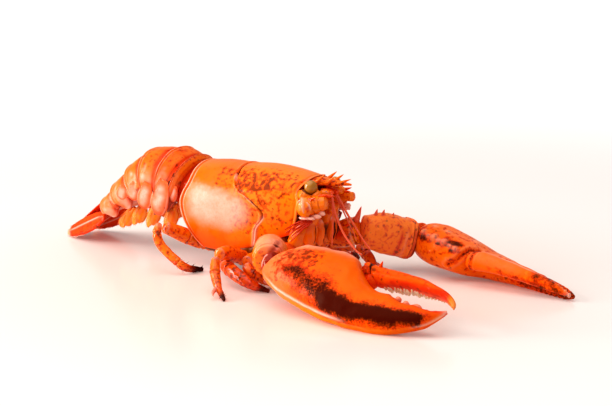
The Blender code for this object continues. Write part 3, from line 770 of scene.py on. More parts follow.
def tail_surface(samples, index, sizes):
    """Segment index + 1: a rolled plate over the back, with a rounded flap down each side."""
    middle = index + 0.5
    part = np.linspace(-0.48, 0.48, 56)
    _, _, half, side, belly = (value[:, None] for value in tail_frame(samples, middle + part))
    roll = sizes.rim_roll / MM
    swell = table(part, (-0.48, -0.38, -0.2, 0.05, 0.3, 0.48), (-1.5, -0.9, -0.1, 0.3, 0.7, 0.9))
    swell += -0.3 * (1 - step(-0.32, -0.26, part)) + 1.4 * roll * bump(part - 0.43, 0.03)
    swell -= 0.35 * bump(part - 0.345, 0.02)
    swell = (swell * window(part, -0.49, 0.49, 0.01) - 0.8 * (1 - window(part, -0.47, 0.47, 0.02)))[:, None]
    half = half + swell
    lobe = (1 - 0.8 * part**2 - 0.45 * np.abs(2 * part) ** 7)[:, None]
    tip = np.maximum(FLAP_DEPTH[index] * lobe, belly + 1.0)
    turn = np.linspace(0, np.pi / 2, 34)[None, :]
    back_y, back_depth = half * np.sin(turn) ** 0.9, side * (1 - np.cos(turn)) - swell * np.cos(turn)
    down = np.linspace(0, 1, 15)[None, 1:]
    flap_y, flap_depth = half * (1 - 0.08 * down**2), side + (tip - side) * down
    thin, full = 0.4 * FLAP_THICKNESS, FLAP_THICKNESS
    inner_y = np.hstack((half * 0.92 - thin, half * 0.92 - full, half * 0.75 - full, half * 0.35))
    inner_depth = np.hstack((tip + 0.2, tip - 0.5, belly, belly - 0.6))
    y = np.hstack((back_y, flap_y, inner_y))
    depth = np.hstack((back_depth, flap_depth, inner_depth))
    y = np.hstack((-y, y[:, :0:-1]))
    depth = np.hstack((depth, depth[:, :0:-1]))
    fall = np.maximum(depth - side, 0) / (tip - side)
    pulled = middle + part[:, None] * (1 - FLAP_TAPER * fall)
    spot, inward, *_ = tail_frame(samples, pulled)
    place = spot + inward * depth[..., None]
    rings = np.stack((place[..., 0], y, place[..., 1]), -1)
    if index == 0:
        rings[..., 0] -= 3.4 * (0.48 - part)[:, None]
    rings = lumpy(rings, sizes.lump_height / MM, 8.0, index + 2)
    return rings, part[:, None] + 0 * y, depth / side, fall


# The side flaps: top, bottom and half width of each, on the left.
LOBES = (
    ((-8.5, 20.8, 47.0), (-12.5, 19.6, 37.0), 3.0),
    ((-15.0, 23.6, 50.5), (-22.0, 22.6, 27.8), 6.2),
    ((-27.5, 24.2, 47.5), (-33.5, 22.4, 30.5), 5.2),
    ((-38.5, 22.8, 46.0), (-43.0, 21.6, 34.5), 4.8),
    ((-49.5, 21.2, 42.5), (-53.0, 20.2, 33.0), 4.4),
    ((-59.5, 18.4, 37.0), (-62.0, 18.0, 29.5), 3.8),
)

# Along a flap from its root: how far, how wide and how thick, as shares.
LOBE_OUTLINE = (
    (0.0, 0.5, 0.04),
    (0.28, 0.9, 0.45),
    (0.64, 1.1, 1.0),
    (0.86, 0.88, 0.8),
    (0.96, 0.5, 0.45),
    (1.0, 0.14, 0.15),
)


def tail_lobe(index, side):
    """A rounded drop-shaped pad with a pale edge and a painted highlight down its middle, hanging from the
    side of a tail plate.
    """
    top, bottom, half = LOBES[index]
    top, bottom = np.array(top) * (1, side, 1), np.array(bottom) * (1, side, 1)
    reach = np.linalg.norm(bottom - top)
    rows = [(f * reach, half * w, f * reach, -half * w, 1.9 * t, 0) for f, w, t in LOBE_OUTLINE]
    rings, local = blade_rings(rows, 40, 44, (top, bottom - top, (-1, 0, -0.35)), squareness=2.0)
    length, width, _ = np.moveaxis(local, -1, 0)
    edge = np.abs(width) / (np.abs(width).max(1, keepdims=True) + 0.05)
    rings = lumpy(rings, 0.12, 4.0, index)
    fall = length / reach
    rough = grain(rings, 3.0, index + 9)
    pale = 0.4 * bump(edge - 0.9, 0.07) * step(0.2, 0.5, fall)
    # A painted highlight down the middle of the pad.
    pale += bump(edge - 0.1, 0.42) * window(fall, 0.2, 0.8, 0.14) * (0.6 + 0.4 * rough)
    deep = 0.85 * step(0.8, 0.95, fall) * (1 - 0.8 * bump(edge - 0.9, 0.1)) + 0.35 * step(0.97, 1.0, edge)
    return painted(rings, pink=0.5, pale=pale, deep=deep, freckle=0.2)


def tail_paint(rings, index, part, round_back, fall):
    """Pale rear rims and pink flaps, both painted highlights, redder tucked-in fronts, and painted shade in
    the crevices high up and under the hanging pads.
    """
    outside = (fall < 1.02) & (np.abs(rings[..., 1]) > 0.0)
    high = round_back < 0.75
    rough = grain(rings, 2.2, index)
    # Pale lines along each plate's rear rims and flap edges: painted highlights.
    pale = bump(part - 0.45, 0.025) * 0.8 + bump(fall - 0.97, 0.1) * 0.35 * (fall > 0.2)
    pale += bump(part - 0.34, 0.02) * 0.25
    # Painted shade in the crevice at the tucked-in front of each plate, along a step behind it, and on the
    # plate under the hanging pads.
    dark = (1 - step(-0.45, -0.36, part)) * (0.75 + 0.4 * rough) * (index > 0)
    dark = dark + 0.3 * bump(part + 0.28, 0.02) * high
    dark += 0.45 * step(0.04, 0.2, fall) * (index < 5)
    # Deep red on the plate under the hanging pads is painted shade as well.
    deep = (1 - step(-0.34, -0.12, part)) * (0.2 if index == 0 else 0.9) + 0.7 * step(0.04, 0.2, fall)
    # Painted highlight streaks across the rear half of each plate, and a painted sheen on its flanks.
    sheen = bump(part - 0.12 - 0.08 * np.sin(round_back * 9.0), 0.13) * window(round_back, 0.42, 1.0, 0.14)
    pale += sheen * (0.25 + 0.5 * rough)
    flank = step(0.45, 0.8, round_back) * window(part, -0.3, 0.4, 0.1)
    pale += flank * (0.05 + 0.5 * grain(rings, 4.0, index + 20))
    # More painted shade in the front crevice, high on the back; less under the pads of the last two plates.
    dark += 0.6 * (1 - step(-0.4, -0.28, part)) * window(round_back, 0.25, 0.85, 0.12) * (0.4 + 0.6 * rough)
    dark *= 1 - 0.9 * step(0.0, 0.1, fall) * (index >= 4)
    # Pink on the flanks and flaps is painted highlight; there is a little pink all over, more toward the
    # rear.
    pink = step(0.3, 0.62, round_back) * 0.5 + (0.02 + 0.05 * index) * (rough * 0.5 + 0.7)
    freckle = (0.28 if index in (0, 1, 2) else 0.15) * (1 - step(0.3, 0.8, round_back))
    dark, pale = dark * outside, pale * outside
    return painted(rings, pale=pale, dark=dark, deep=deep, pink=pink, freckle=freckle, amber=0.35)


def tail_neck(rings):
    """The soft collar that joins the first plate to the body shell."""
    edge = rings[3]
    centre = edge.mean(0)
    low = np.clip((centre[2] + 4 - edge[:, 2]) / 20, 0, 1)
    rows = []
    for along in np.linspace(0, 1, 14):
        row = centre + (edge - centre) * (0.9 - 0.04 * np.sin(np.pi * along))
        row[:, 0] = (1 - along) * (2.2 + 7 * low) + along * (edge[:, 0] - 3)
        rows.append(row)
    return painted(lumpy(np.array(rows), 0.25, 3.0), deep=0.9, dark=0.3)


def build_tail(sizes):
    columns = np.column_stack((TAIL_LINE, TAIL_HALF_WIDTH, TAIL_SIDE_DEPTH, TAIL_BELLY_DEPTH))
    samples = smooth(columns, (len(TAIL_LINE) - 1) * TAIL_STEPS + 1)
    gloss = finishes()["shell_gloss"]
    for index in range(6):
        rings, part, round_back, fall = tail_surface(samples, index, sizes)
        surfaces = [tail_paint(rings, index, part, round_back, fall)]
        surfaces += [tail_lobe(index, side) for side in (-1, 1)]
        if index == 0:
            surfaces.append(tail_neck(rings))
        build_skin(f"tail_plate_{index + 1}", surfaces, gloss, [f"abdomen_{index + 1}"])


TELSON = (
    (0, 7.5, 0, -7.5, 0.9, 0),
    (3, 9.0, 3, -9.0, 1.5, 0),
    (20, 8.6, 20, -8.6, 1.4, 0),
    (34, 6.6, 34, -6.6, 1.0, 0),
    (39.5, 2.6, 39.5, -2.6, 0.6, 0),
)
INNER_UROPOD = (
    (0, 3.2, 0, -3.0, 0.8, 0),
    (5, 4.2, 5, -4.2, 1.2, 0),
    (20, 4.2, 20, -4.2, 1.1, 0),
    (31, 3.0, 31, -3.0, 0.9, 0),
    (35, 1.4, 35, -1.4, 0.5, 0),
)
OUTER_UROPOD = (
    (0, 3.0, 0, -2.6, 0.9, 0),
    (8, 6.0, 8, -4.8, 1.5, 0),
    (22, 6.6, 22, -5.2, 1.4, 0),
    (36, 4.4, 36, -4.2, 1.0, 0),
    (42.4, 1.4, 42.4, -1.6, 0.6, 0),
)
FAN = (
    ("middle", TELSON, 1.0, ((-81.2, 0, 25.4), (-0.79, 0, -0.61), (0, -1, 0))),
    ("inner_right", INNER_UROPOD, 1.0, ((-76.8, -4.7, 21.4), (-0.81, 0, -0.54), (0, -1, -0.12))),
    ("inner_left", INNER_UROPOD, 1.0, ((-76.8, 4.7, 21.4), (-0.81, 0, -0.54), (0, 1, -0.12))),
    ("outer_right", OUTER_UROPOD, 1.0, ((-72.0, -15.2, 19.4), (-0.895, 0.13, -0.4), (0, -0.42, -0.9))),
    ("outer_left", OUTER_UROPOD, 0.9, ((-73.6, 15.6, 18.0), (-0.89, -0.1, -0.41), (0, 0.5, -0.8))),
)


def build_tail_fan(sizes):
    """The middle plate of the fan and the two flaps on each side of it, with fringes."""
    gloss = finishes()["shell_gloss"]
    for part, rows, size, place in FAN:
        node = "telson" if part == "middle" else f"uropod_{part}"
        rings, local = blade_rings(np.array(rows) * size, 72, 70, place)
        length, width, _ = np.moveaxis(local, -1, 0)
        reach = rows[-1][0] * size
        half = np.abs(local[..., 1]).max(1, keepdims=True)
        ridge = 0.55 * bump(width, 0.7) + 0.25 * bump(np.abs(width) - 0.7 * half, 0.6)
        furrow = 0.12 * np.sin(width * 5.0) * step(0.35, 0.6, length / reach)
        rings = above_table(raised(rings, (ridge + furrow) * window(length, 2, reach - 3, 2)))
        tip = step(reach - 6, reach - 1, length)
        # A painted highlight along the middle ridge; the tip is pale in its own colour.
        pale = 0.75 * bump(width, 0.45) * window(length, 4, reach - 5, 3) + 0.4 * tip
        deep = 0.5 + 0.4 * bump(np.abs(width) - half, 1.6)
        surfaces = [painted(rings, pale=pale, deep=deep * (1 - tip), freckle=0.35, amber=0.8 * tip)]
        edge = rings[36:-2:1, [0, 36]].reshape(-1, 3)
        middle = rings[0].mean(0)
        hairs = bristles(edge, unit(edge - middle), 2.2, 0.09, 11)
        surfaces += [painted(hair, pale=0.8) for hair in clear_of_table(hairs)]
        build_skin(f"fan_{part}", surfaces, gloss, [node])


def build_swimmerets(sizes):
    skin = finishes()["moist_skin"]
    for index, (x, z) in enumerate(((-16, 34), (-29, 33.5), (-40, 32.0), (-50, 27.5))):
        lean = 2.0 + index
        for side, word in ((-1, "right"), (1, "left")):
            surfaces = []
            for turn, fore, grow in ((0.0, -1.6, 1.0), (0.5, 1.7, 0.9)):
                place = ((x + fore, side * 13, z), (-0.12 * lean, side * 0.08, -1), (1, turn, 0))
                leaf = (
                    (0, 1.2, 0, -1.2, 1.2, 0),
                    (3, 1.3, 3, -1.3, 1.1, 0),
                    (8, 3.2, 8, -3.2, 0.8, 0.3),
                    (14, 2.9, 14, -2.9, 0.5, 0.5),
                    (19 - index, 0.7, 19 - index, -0.7, 0.2, 0.4),
                )
                rings, local = blade_rings(np.array(leaf) * (grow, 1, grow, 1, 1, 1), 36, 30, place)
                edge = np.abs(local[..., 1]) / (np.abs(local[..., 1]).max(1, keepdims=True) + 0.1)
                pale, deep = 0.12 * bump(edge - 0.5, 0.3), 0.3 * step(0.7, 1, edge)
                surfaces.append(painted(lumpy(rings, 0.15, 2.0), pale=pale, deep=deep))
                roots = rings[10:-1:2, [0, 18]].reshape(-1, 3)
                ways = unit(roots - rings[6].mean(0))
                surfaces += [painted(hair, pale=0.3) for hair in bristles(roots, ways, 1.6, 0.07, index)]
            node = f"swimmeret_{index + 2}_{word}"
            build_skin(f"swimming_leg_{index + 2}_{word}", surfaces, skin, [node])


# The head

EYE_RADIUS = 3.9
EYE_PROFILE = (
    (0.0, 2.0),
    (2.8, 2.2),
    (4.1, 3.4),
    (6.3, EYE_RADIUS),
    (8.4, 3.3),
    (9.6, 1.8),
    (10.05, 0.3),
)
ANTENNA_RIGHT = (
    (83.8, -17.2, 45.0, 5.4, 6.0),
    (87.0, -15.2, 45.6, 5.2, 5.8),
    (91.0, -13.6, 46.6, 4.4, 5.0),
    (96.0, -12.4, 47.6, 3.2, 3.6),
)
ANTENNA_LEFT = (
    (83.8, 15.4, 44.6, 4.6, 5.2),
    (87.0, 12.6, 46.0, 4.2, 4.6),
    (91.0, 10.6, 47.4, 3.2, 3.3),
    (99.5, 10.0, 48.0, 2.8, 2.8),
)
FEELERS = {
    "right": (
        (-3.4, 52.0),
        ((95.6, -5.6, 51.5), (96.4, -6.3, 44), (97.4, -7.0, 36), (97.4, -8.0, 22)),
        ((94.9, -5.2, 51.8), (98.7, -6.2, 40.1), (105, -6.8, 29.4), (113.2, -7.4, 21.6), (117.2, -7.4, 19.4)),
    ),
    "left": (
        (1.6, 51.6),
        ((93.8, 1.0, 49.6), (98.9, 2.2, 39.6), (103.4, 3.4, 30.4), (106.6, 4.0, 24.5)),
        ((94.2, 1.6, 50.2), (101.2, 2.0, 39.5), (107.4, 2.6, 31), (110.8, 3.2, 26), (116.0, 3.4, 20.5)),
    ),
}


def build_eyes(sizes):
    """Two eyeballs on short stalks, the left one folded back a little."""
    for side, word in ((-1, "right"), (1, "left")):
        fold = np.array((0.0, 0.0, 0.0) if side < 0 else (-0.6, -0.6, -1.6))
        along = unit(np.array((4.0, side * 7.0, 3.6 if side < 0 else 3.1)))
        root = np.array((83.2, side * 8.0, 53.4)) + fold
        step_along, radius = smooth(EYE_PROFILE, 60).T
        rows = np.column_stack((root + along * step_along[:, None], radius, radius))
        rings = tube_rings(rows, 48)
        reach = step_along[:, None] + 0 * rings[..., 0]
        surface = painted(rings, pale=bump(reach - 5.2, 1.7), deep=1 - step(2.6, 3.6, reach))
        build_skin(f"eyeball_{word}", [surface], finishes()["eye_gloss"], [f"eye_{word}"])


def segmented(rows, sides, count, caps, joints, up=(0, 0, 1), squareness=2.0, nip=0.14):
    """A tube with a cuff and a nip at each joint; it also gives each ring's share along it and a mask of the
    joints, for painting.
    """
    rows = domed(smooth(rows, count), *caps)
    run = np.linalg.norm(np.diff(rows[:, :3], axis=0), axis=1)
    along = np.concatenate(([0], np.cumsum(run)))
    along /= along[-1]
    scale = np.ones(len(rows))
    seam = np.zeros(len(rows))
    for joint in joints:
        scale += 0.08 * bump(along - joint + 0.02, 0.022) - nip * bump(along - joint, 0.012)
        seam += bump(along - joint, 0.012)
    rows[:, 3:5] *= scale[:, None]
    rings = tube_rings(rows, sides, up, squareness)
    return rings, along[:, None] + 0 * rings[..., 0], seam[:, None] + 0 * rings[..., 0]


def build_feelers(sizes):
    """The two broken feeler stumps with their folds, and the thin feelers between them."""
    gloss = finishes()["leg_gloss"]
    for word, rows, joints in (("right", ANTENNA_RIGHT, (0.5, 0.76)), ("left", ANTENNA_LEFT, (0.3, 0.55))):
        side = -1 if word == "right" else 1
        rings, along, seam = segmented(rows, 48, 60, (2.0, 0.6), joints, nip=0.18)
        pale = 0.5 * bump(along - 0.12, 0.05)
        rings = lumpy(rings, 0.2, 3.0)
        surfaces = [painted(rings, dark=seam * 0.35, pale=pale, amber=0.6, freckle=0.25)]
        for base, tip, radius in (
            ((88, side * 17.5, 49.5), (93.5, side * 18.4, 51.4), 1.2),
            ((90, side * 12.5, 50.5), (97.5, side * 11.5, 52.6), 1.5),
            ((93, side * 9.0, 50.5), (99.5, side * 8.0, 51.4), 1.2),
        ):
            surfaces.append(painted(thorn(base, tip, radius), deep=0.5))
        for centre, radii in (
            ((84.5, side * 17.6, 38.2), (3.6, 1.5, 1.0)),
            ((88.0, side * 16.6, 38.7), (3.4, 1.6, 1.2)),
            ((91.5, side * 15.0, 39.8), (3.2, 1.5, 1.4)),
            ((94.0, side * 13.4, 41.6), (2.4, 1.4, 1.6)),
        ):
            surfaces.append(painted(lumpy(ball(centre, radii, 24, 30), 0.45, 1.4), pale=0.8, pink=0.5))
        dome = lumpy(ball((85.2, side * 18.0, 44.6), (5.4, 3.6, 5.6), 40, 50), 0.15, 4.0)
        # A painted highlight along the upper rim of the dome.
        rim = bump(np.hypot(dome[..., 0] - 85.2, dome[..., 2] - 44.6) - 5.0, 0.5) * step(43, 46, dome[..., 2])
        surfaces.append(painted(dome, pale=0.75 * rim, freckle=0.3, amber=0.8))
        for centre, radii, red in (
            ((82.6, side * 14.6, 51.0), (4.6, 4.2, 3.4), 0.1),
            ((88.0, side * 11.4, 51.4), (4.4, 3.4, 2.8), 0.25),
            ((92.0, side * 7.4, 51.8), (3.6, 3.2, 2.6), 0.1),
            ((81.6, side * 9.0, 44.0), (5.0, 8.0, 7.0), 0.5),
        ):
            lump = lumpy(ball(centre, radii, 34, 44), 0.5, 2.6)
            # Painted shade of the eye socket, on the side of each lump next to the eye.
            near = np.linalg.norm(lump - EYE_SPOT * (1, -side, 1), axis=2)
            dark = 0.6 * (1 - step(4.4, 5.4, near))
            surfaces.append(painted(lump, amber=0.8, deep=red, dark=dark, freckle=0.3))
        build_skin(f"feeler_stump_{word}", surfaces, gloss, [f"antenna_{word}"])
    for word, ((y, z), thin, thick) in FEELERS.items():
        between = (y + thick[0][1]) / 2
        stalk = ((87.5, y, z, 1.8, 1.8), (91, y, z + 0.4, 1.7, 1.7), (94.6, between, z, 1.4, 1.4))
        rings, along, seam = segmented(stalk, 24, 40, (0.8, 0.8), (0.35, 0.7))
        surfaces = [painted(rings, dark=seam * 0.5, deep=0.3)]
        for line, radius in ((thin, 0.5), (thick, 0.75)):
            width = np.linspace(1, 0.6, len(line)) * radius
            rows = smooth([(*point, size, size) for point, size in zip(line, width)], 150)
            ringed = 1 + 0.08 * np.sin(np.arange(150) * 1.6)
            rows[:, 3:5] *= ringed[:, None]
            surfaces.append(painted(tube_rings(domed(rows, 0.3, 0.3), 12, (0, 1, 0)), deep=0.35, pale=0.12))
        build_skin(f"small_feeler_{word}", surfaces, gloss, [f"antennule_{word}"])


JAW = (
    (76, 14.0, 22, 5.0, 5.0),
    (80, 13.6, 30, 5.0, 5.0),
    (83.5, 10.5, 36, 5.0, 4.5),
    (87.0, 8.0, 42, 4.0, 4.0),
)


def build_mouth_legs(sizes):
    """The large pair of mouth parts, with strands and a jaw beside each."""
    gloss = finishes()["leg_gloss"]
    for side, word in ((-1, "right"), (1, "left")):
        rows = (
            (84.5, side * 5.0, 37.5, 4.0, 3.2),
            (83.6, side * 7.0, 30, 5.2, 4.4),
            (81.0, side * 8.4, 21, 4.2, 4.0),
            (79.2, side * 7.6, 14, 2.0, 2.0),
        )
        rings, along, seam = segmented(rows, 48, 90, (1.5, 1.5), (0.72,), up=(1, 0, 0))
        # Painted shade on the inner faces, where the two mouth legs meet.
        inner = step(-4.8, -3.6, -side * rings[..., 1]) * (1 - step(30, 34, rings[..., 2]))
        rings = lumpy(rings, 0.25, 4.0)
        surfaces = [painted(rings, dark=seam * 0.4 + 0.6 * inner, amber=0.6, freckle=0.35)]
        for centre, radii in (
            ((84.4, side * 12.4, 28.6), (4.4, 3.9, 8.4)),
            ((87.4, side * 5.8, 28.4), (3.4, 2.8, 8.0)),
        ):
            oval_pad = lumpy(ball(centre, radii, 30, 36), 0.3, 3.0)
            # Painted shade, as a dark red line, along the gap between the oval pads.
            slit = bump(oval_pad[..., 1] - centre[1] + side * 0.25 * radii[1], 0.8)
            slit = 0.8 * (slit * window(oval_pad[..., 2], 22, 33, 1.5))
            rim = 0.6 * bump(oval_pad[..., 2] - centre[2] - 0.86 * radii[2], 1.2)
            oval = painted(oval_pad, amber=0.45, dark=slit, deep=slit, pale=rim, freckle=0.1)
            surfaces.append(oval)
        for shift in np.linspace(-2.4, 2.4, 5):
            rows = (
                (87.5 + shift * 0.5, side * 15.0, 37.0 - shift * 0.3, 0.35, 0.35),
                (82.5 + shift * 0.6, side * 19.6, 33.4 - shift * 0.9, 0.5, 0.5),
                (76.5 + shift * 0.8, side * 22.4, 28.0 - shift * 1.4, 0.3, 0.3),
            )
            strand = tube_rings(domed(smooth(rows, 14), 0.3, 0.3), 10, (0, 1, 0))
            surfaces.append(painted(strand, deep=1.0, dark=0.3))
        rows = [on_side(row, side) for row in JAW]
        jaw = lumpy(tube_rings(domed(smooth(rows, 30), 2, 2), 30, (0, 1, 0)), 0.5, 3.0)
        surfaces.append(painted(jaw, deep=0.12, amber=0.8, freckle=0.2))
        build_skin(f"mouth_leg_{word}", surfaces, gloss, [f"maxilliped_{word}"])


# The claws

CRUSHER_PALM = (
    (1.5, -8.6, 4.6, -0.6, 5.6, 0),
    (7, -12.9, 9, 5.4, 8.9, 0),
    (17, -19.2, 16.5, 11.4, 11.4, 0),
    (31, -25.5, 26, 14.2, 12.8, 0),
    (46, -31, 40, 13.6, 12.6, 0),
    (58, -34, 52, 10.8, 11.4, 0),
    (66, -35.2, 57.5, 3.6, 10.2, 0),
    (74, -35.8, 64, -4.6, 9.0, 0),
    (82, -35.4, 71, -9.5, 8.0, 0),
    (90, -33.8, 79.5, -12, 7.2, 0),
    (98, -30.8, 87, -15.8, 6.2, 0),
    (105.5, -26.6, 95, -16.8, 4.8, 0),
    (110.8, -20.8, 103.5, -17.6, 2.6, 0),
    (113, -16.4, 112, -14.8, 0.9, 0),
)
CRUSHER_DACTYL = (
    (56, 9.0, 58.6, 5.0, 4.0, 0),
    (60, 9.2, 62.0, 0.8, 6.0, 0),
    (66.7, 8.0, 67.6, -2.4, 5.8, 0),
    (75, 7.0, 74, -3.0, 5.2, 0),
    (84.5, 5.4, 82, -3.2, 5.0, 0),
    (94.5, 3.2, 90.5, -3.6, 4.7, 0),
    (104.5, -1.2, 99.5, -5.4, 4.0, 0),
    (111.5, -5.4, 106.8, -6.8, 3.0, 0),
    (115, -9.0, 111.6, -10.0, 2.0, 0),
    (115.6, -12.5, 114.6, -13.0, 0.8, 0),
)
CUTTER_PALM = (
    (2.5, 8, 2.5, -8, 8.6, 0),
    (7, 13, 6, -12, 10.8, 0),
    (15, 17.5, 14, -15.5, 11.9, -0.2),
    (27, 19.5, 25, -16.6, 11.2, -0.8),
    (37, 19.8, 34.5, -16.0, 10.2, -1.5),
    (45, 19.6, 40, -11.5, 8.9, -2.1),
    (53, 18.6, 45.5, -4.0, 7.9, -2.4),
    (62, 16.8, 55, -0.6, 7.0, -2.4),
    (71, 14.4, 66, 0.8, 6.0, -2.1),
    (83, 11.0, 79, 1.5, 5.0, -1.6),
    (95, 6.6, 92, 1.0, 4.0, -1.0),
    (105, 2.8, 103.5, -0.2, 2.7, -0.4),
    (110, -0.2, 109.4, -1.4, 1.1, 0),
)
CUTTER_DACTYL = (
    (46.4, -7.4, 43.8, -13.0, 4.2, 0.6),
    (50, -4.6, 47.5, -15.2, 5.8, 1.6),
    (58, -2.9, 56, -14.6, 5.2, 2.6),
    (70, -1.0, 68, -12.2, 4.4, 2.8),
    (83, 0.1, 82, -9.2, 3.6, 2.4),
    (95, -0.4, 94, -6.2, 2.8, 1.8),
    (104, -1.5, 103.5, -4.0, 1.9, 1.0),
    (109, -2.8, 108.6, -3.6, 0.8, 0.4),
)

# The dark mottled patch on the right palm, as length and width in the claw.
PATCH = (
    (15, -8),
    (20, -16),
    (28, -22),
    (38, -27.5),
    (50, -31.5),
    (64, -34.5),
    (84, -34.5),
    (103, -28.5),
    (107, -23),
    (93, -24.5),
    (81, -23.5),
    (66, -25.5),
    (56, -21.5),
    (48, -13.5),
    (37, -12.5),
    (27, -7),
)


def claw_place(wrist, yaw, pitch, roll):
    """Origin, length direction and width direction of a claw turned by these degrees."""
    yaw, pitch, roll = np.radians((yaw, pitch, roll))
    ahead = np.array((np.cos(yaw) * np.cos(pitch), np.sin(yaw) * np.cos(pitch), np.sin(pitch)))
    level = unit(np.cross((0, 0, 1), ahead))
    return wrist, ahead, level * np.cos(roll) + np.cross(ahead, level) * np.sin(roll)


CRUSHER_PLACE = claw_place((89.1, -59.5, 19.9), 7.0, 0.0, 30.0)
CUTTER_PLACE = claw_place((121.5, 50.0, 19.0), -7.5, -8.6, -8.0)


def line_distance(points, *line):
    """Distance from each point to a line of straight pieces."""
    nearest = np.full(points.shape[:-1], 1e9)
    for start, end in zip(np.array(line[:-1], float), np.array(line[1:], float)):
        run = end - start
        t = np.clip(((points - start) @ run) / (run @ run), 0, 1)
        nearest = np.minimum(nearest, np.linalg.norm(points - start - t[..., None] * run, axis=-1))
    return nearest


def within(length, width, outline, soft):
    """1 well inside an outline, 0 well outside it and 0.5 on its edge."""
    flat = np.stack((length, width), -1)
    inside = np.zeros(length.shape, bool)
    for (x0, y0), (x1, y1) in zip(outline, (*outline[1:], outline[0])):
        crosses = (y0 > width) != (y1 > width)
        inside ^= crosses & (length < (x1 - x0) * (width - y0) / ((y1 - y0) or 1e-9) + x0)
    away = line_distance(flat, *outline, outline[0])
    return step(-soft, soft, np.where(inside, away, -away))


def swell(local, spots):
    """Height of rounded knobs, each given as length, width, height, how far out and how wide."""
    total = 0.0
    for *spot, out, wide in spots:
        total = total + out * bump(np.linalg.norm(local - np.array(spot), axis=-1), wide)
    return total


def at(place, local):
    """The body-frame points at a length, width and height in a claw."""
    origin, ahead, across = (np.array(part, float) for part in place)
    ahead = unit(ahead)
    normal = unit(np.cross(ahead, across))
    return origin + np.asarray(local) @ np.array((ahead, np.cross(normal, ahead), normal))


def build_right_palm(sizes):
    rings, local = blade_rings(CRUSHER_PALM, 180, 190, CRUSHER_PLACE, bias=0.1)
    length, width, height = np.moveaxis(local, -1, 0)
    outer = width.min(1, keepdims=True)
    inner = width.max(1, keepdims=True)
    edge = 1 - step(0.5, 5.5, width - outer)
    finger = step(62, 78, length)
    relief = 0.5 * bump(height - 2.4, 0.9) * edge * window(length, 9, 76, 4)
    relief -= 0.45 * bump(height + 0.6, 1.6) * edge * window(length, 9, 104, 6)
    relief -= 1.0 * bump(line_distance(local, (55, 13, 7), (60, 6, 8), (64.5, -1.5, 6)), 2.4)
    relief += 0.6 * bump(line_distance(local, (51, 13, 8), (56, 4, 9.5), (60.5, -4, 9)), 2.0)
    relief += swell(local, ((22, 12, 8, 1.0, 4.0), (33, 15, 7, 1.0, 3.5), (45, 12, 8, 0.8, 4.0)))
    relief -= 0.5 * bump(line_distance(local, (20, 4, 11.5), (40, -2, 12.5), (58, -8, 10.5)), 4.5)
    relief += swell(local, ((79, -12.5, 2, 0.9, 2.0), (84.5, -15, 2, 0.9, 2.0), (89.5, -17, 1.5, 1.0, 2.0)))
    knobs = ((96, -19, 1.0, 2.4, 2.6), (102, -19.5, 0.5, 1.0, 1.8), (107, -18.5, 0.5, 0.8, 1.5))
    relief += swell(local, knobs)
    rings = above_table(lumpy(raised(rings, relief), 1.6 * sizes.lump_height / MM, 9.0, 3))
    top = step(-1.5, 2.5, height)
    patch = within(length, width, PATCH, 5.5) * (0.25 + 0.75 * top)
    flat = local * (1, 1, 0)
    core = line_distance(flat, (50, -28, 0), (66, -30.5, 0), (88, -30.5, 0), (100, -27, 0))
    patch = patch * (0.6 + 0.8 * bump(core, 4.0))
    cutting = step(-3.5, -0.5, width - inner) * step(66, 76, length)
    # Painted highlights: a pale line along the keel, another near the tip, and pale and pink on the top and
    # the root of the palm.
    pale = 0.9 * bump(height - 2.8, 0.8) * edge * window(length, 8, 58, 8)
    pale += 0.5 * bump(height - 1.0, 0.7) * edge * step(96, 104, length)
    pale += 0.3 * step(4, 10, width) * top * (1 - finger)
    pink = 0.7 * (1 - step(12, 34, length)) + 0.7 * step(3, 10, width) * (1 - finger)
    dark = 1.1 * bump(line_distance(local, (57, 11.5, 6), (61, 4, 7.5), (65.5, -2.0, 4)), 1.5)
    deep = 0.65 * cutting + 0.3 * step(80, 98, length)
    deep = deep + 0.35 * bump(height + 1.0, 2.0) * edge * step(50, 70, length)
    freckle = 0.1 + 0.6 * top * window(length, 12, 38, 5) * window(width, -16, 6, 5)
    amber = 0.15 + 0.7 * edge * (1 - step(0.5, 3.0, height))
    shade = {"patch": patch, "pale": pale, "pink": pink, "dark": dark, "deep": deep}
    return painted(rings, **shade, freckle=freckle, amber=amber)


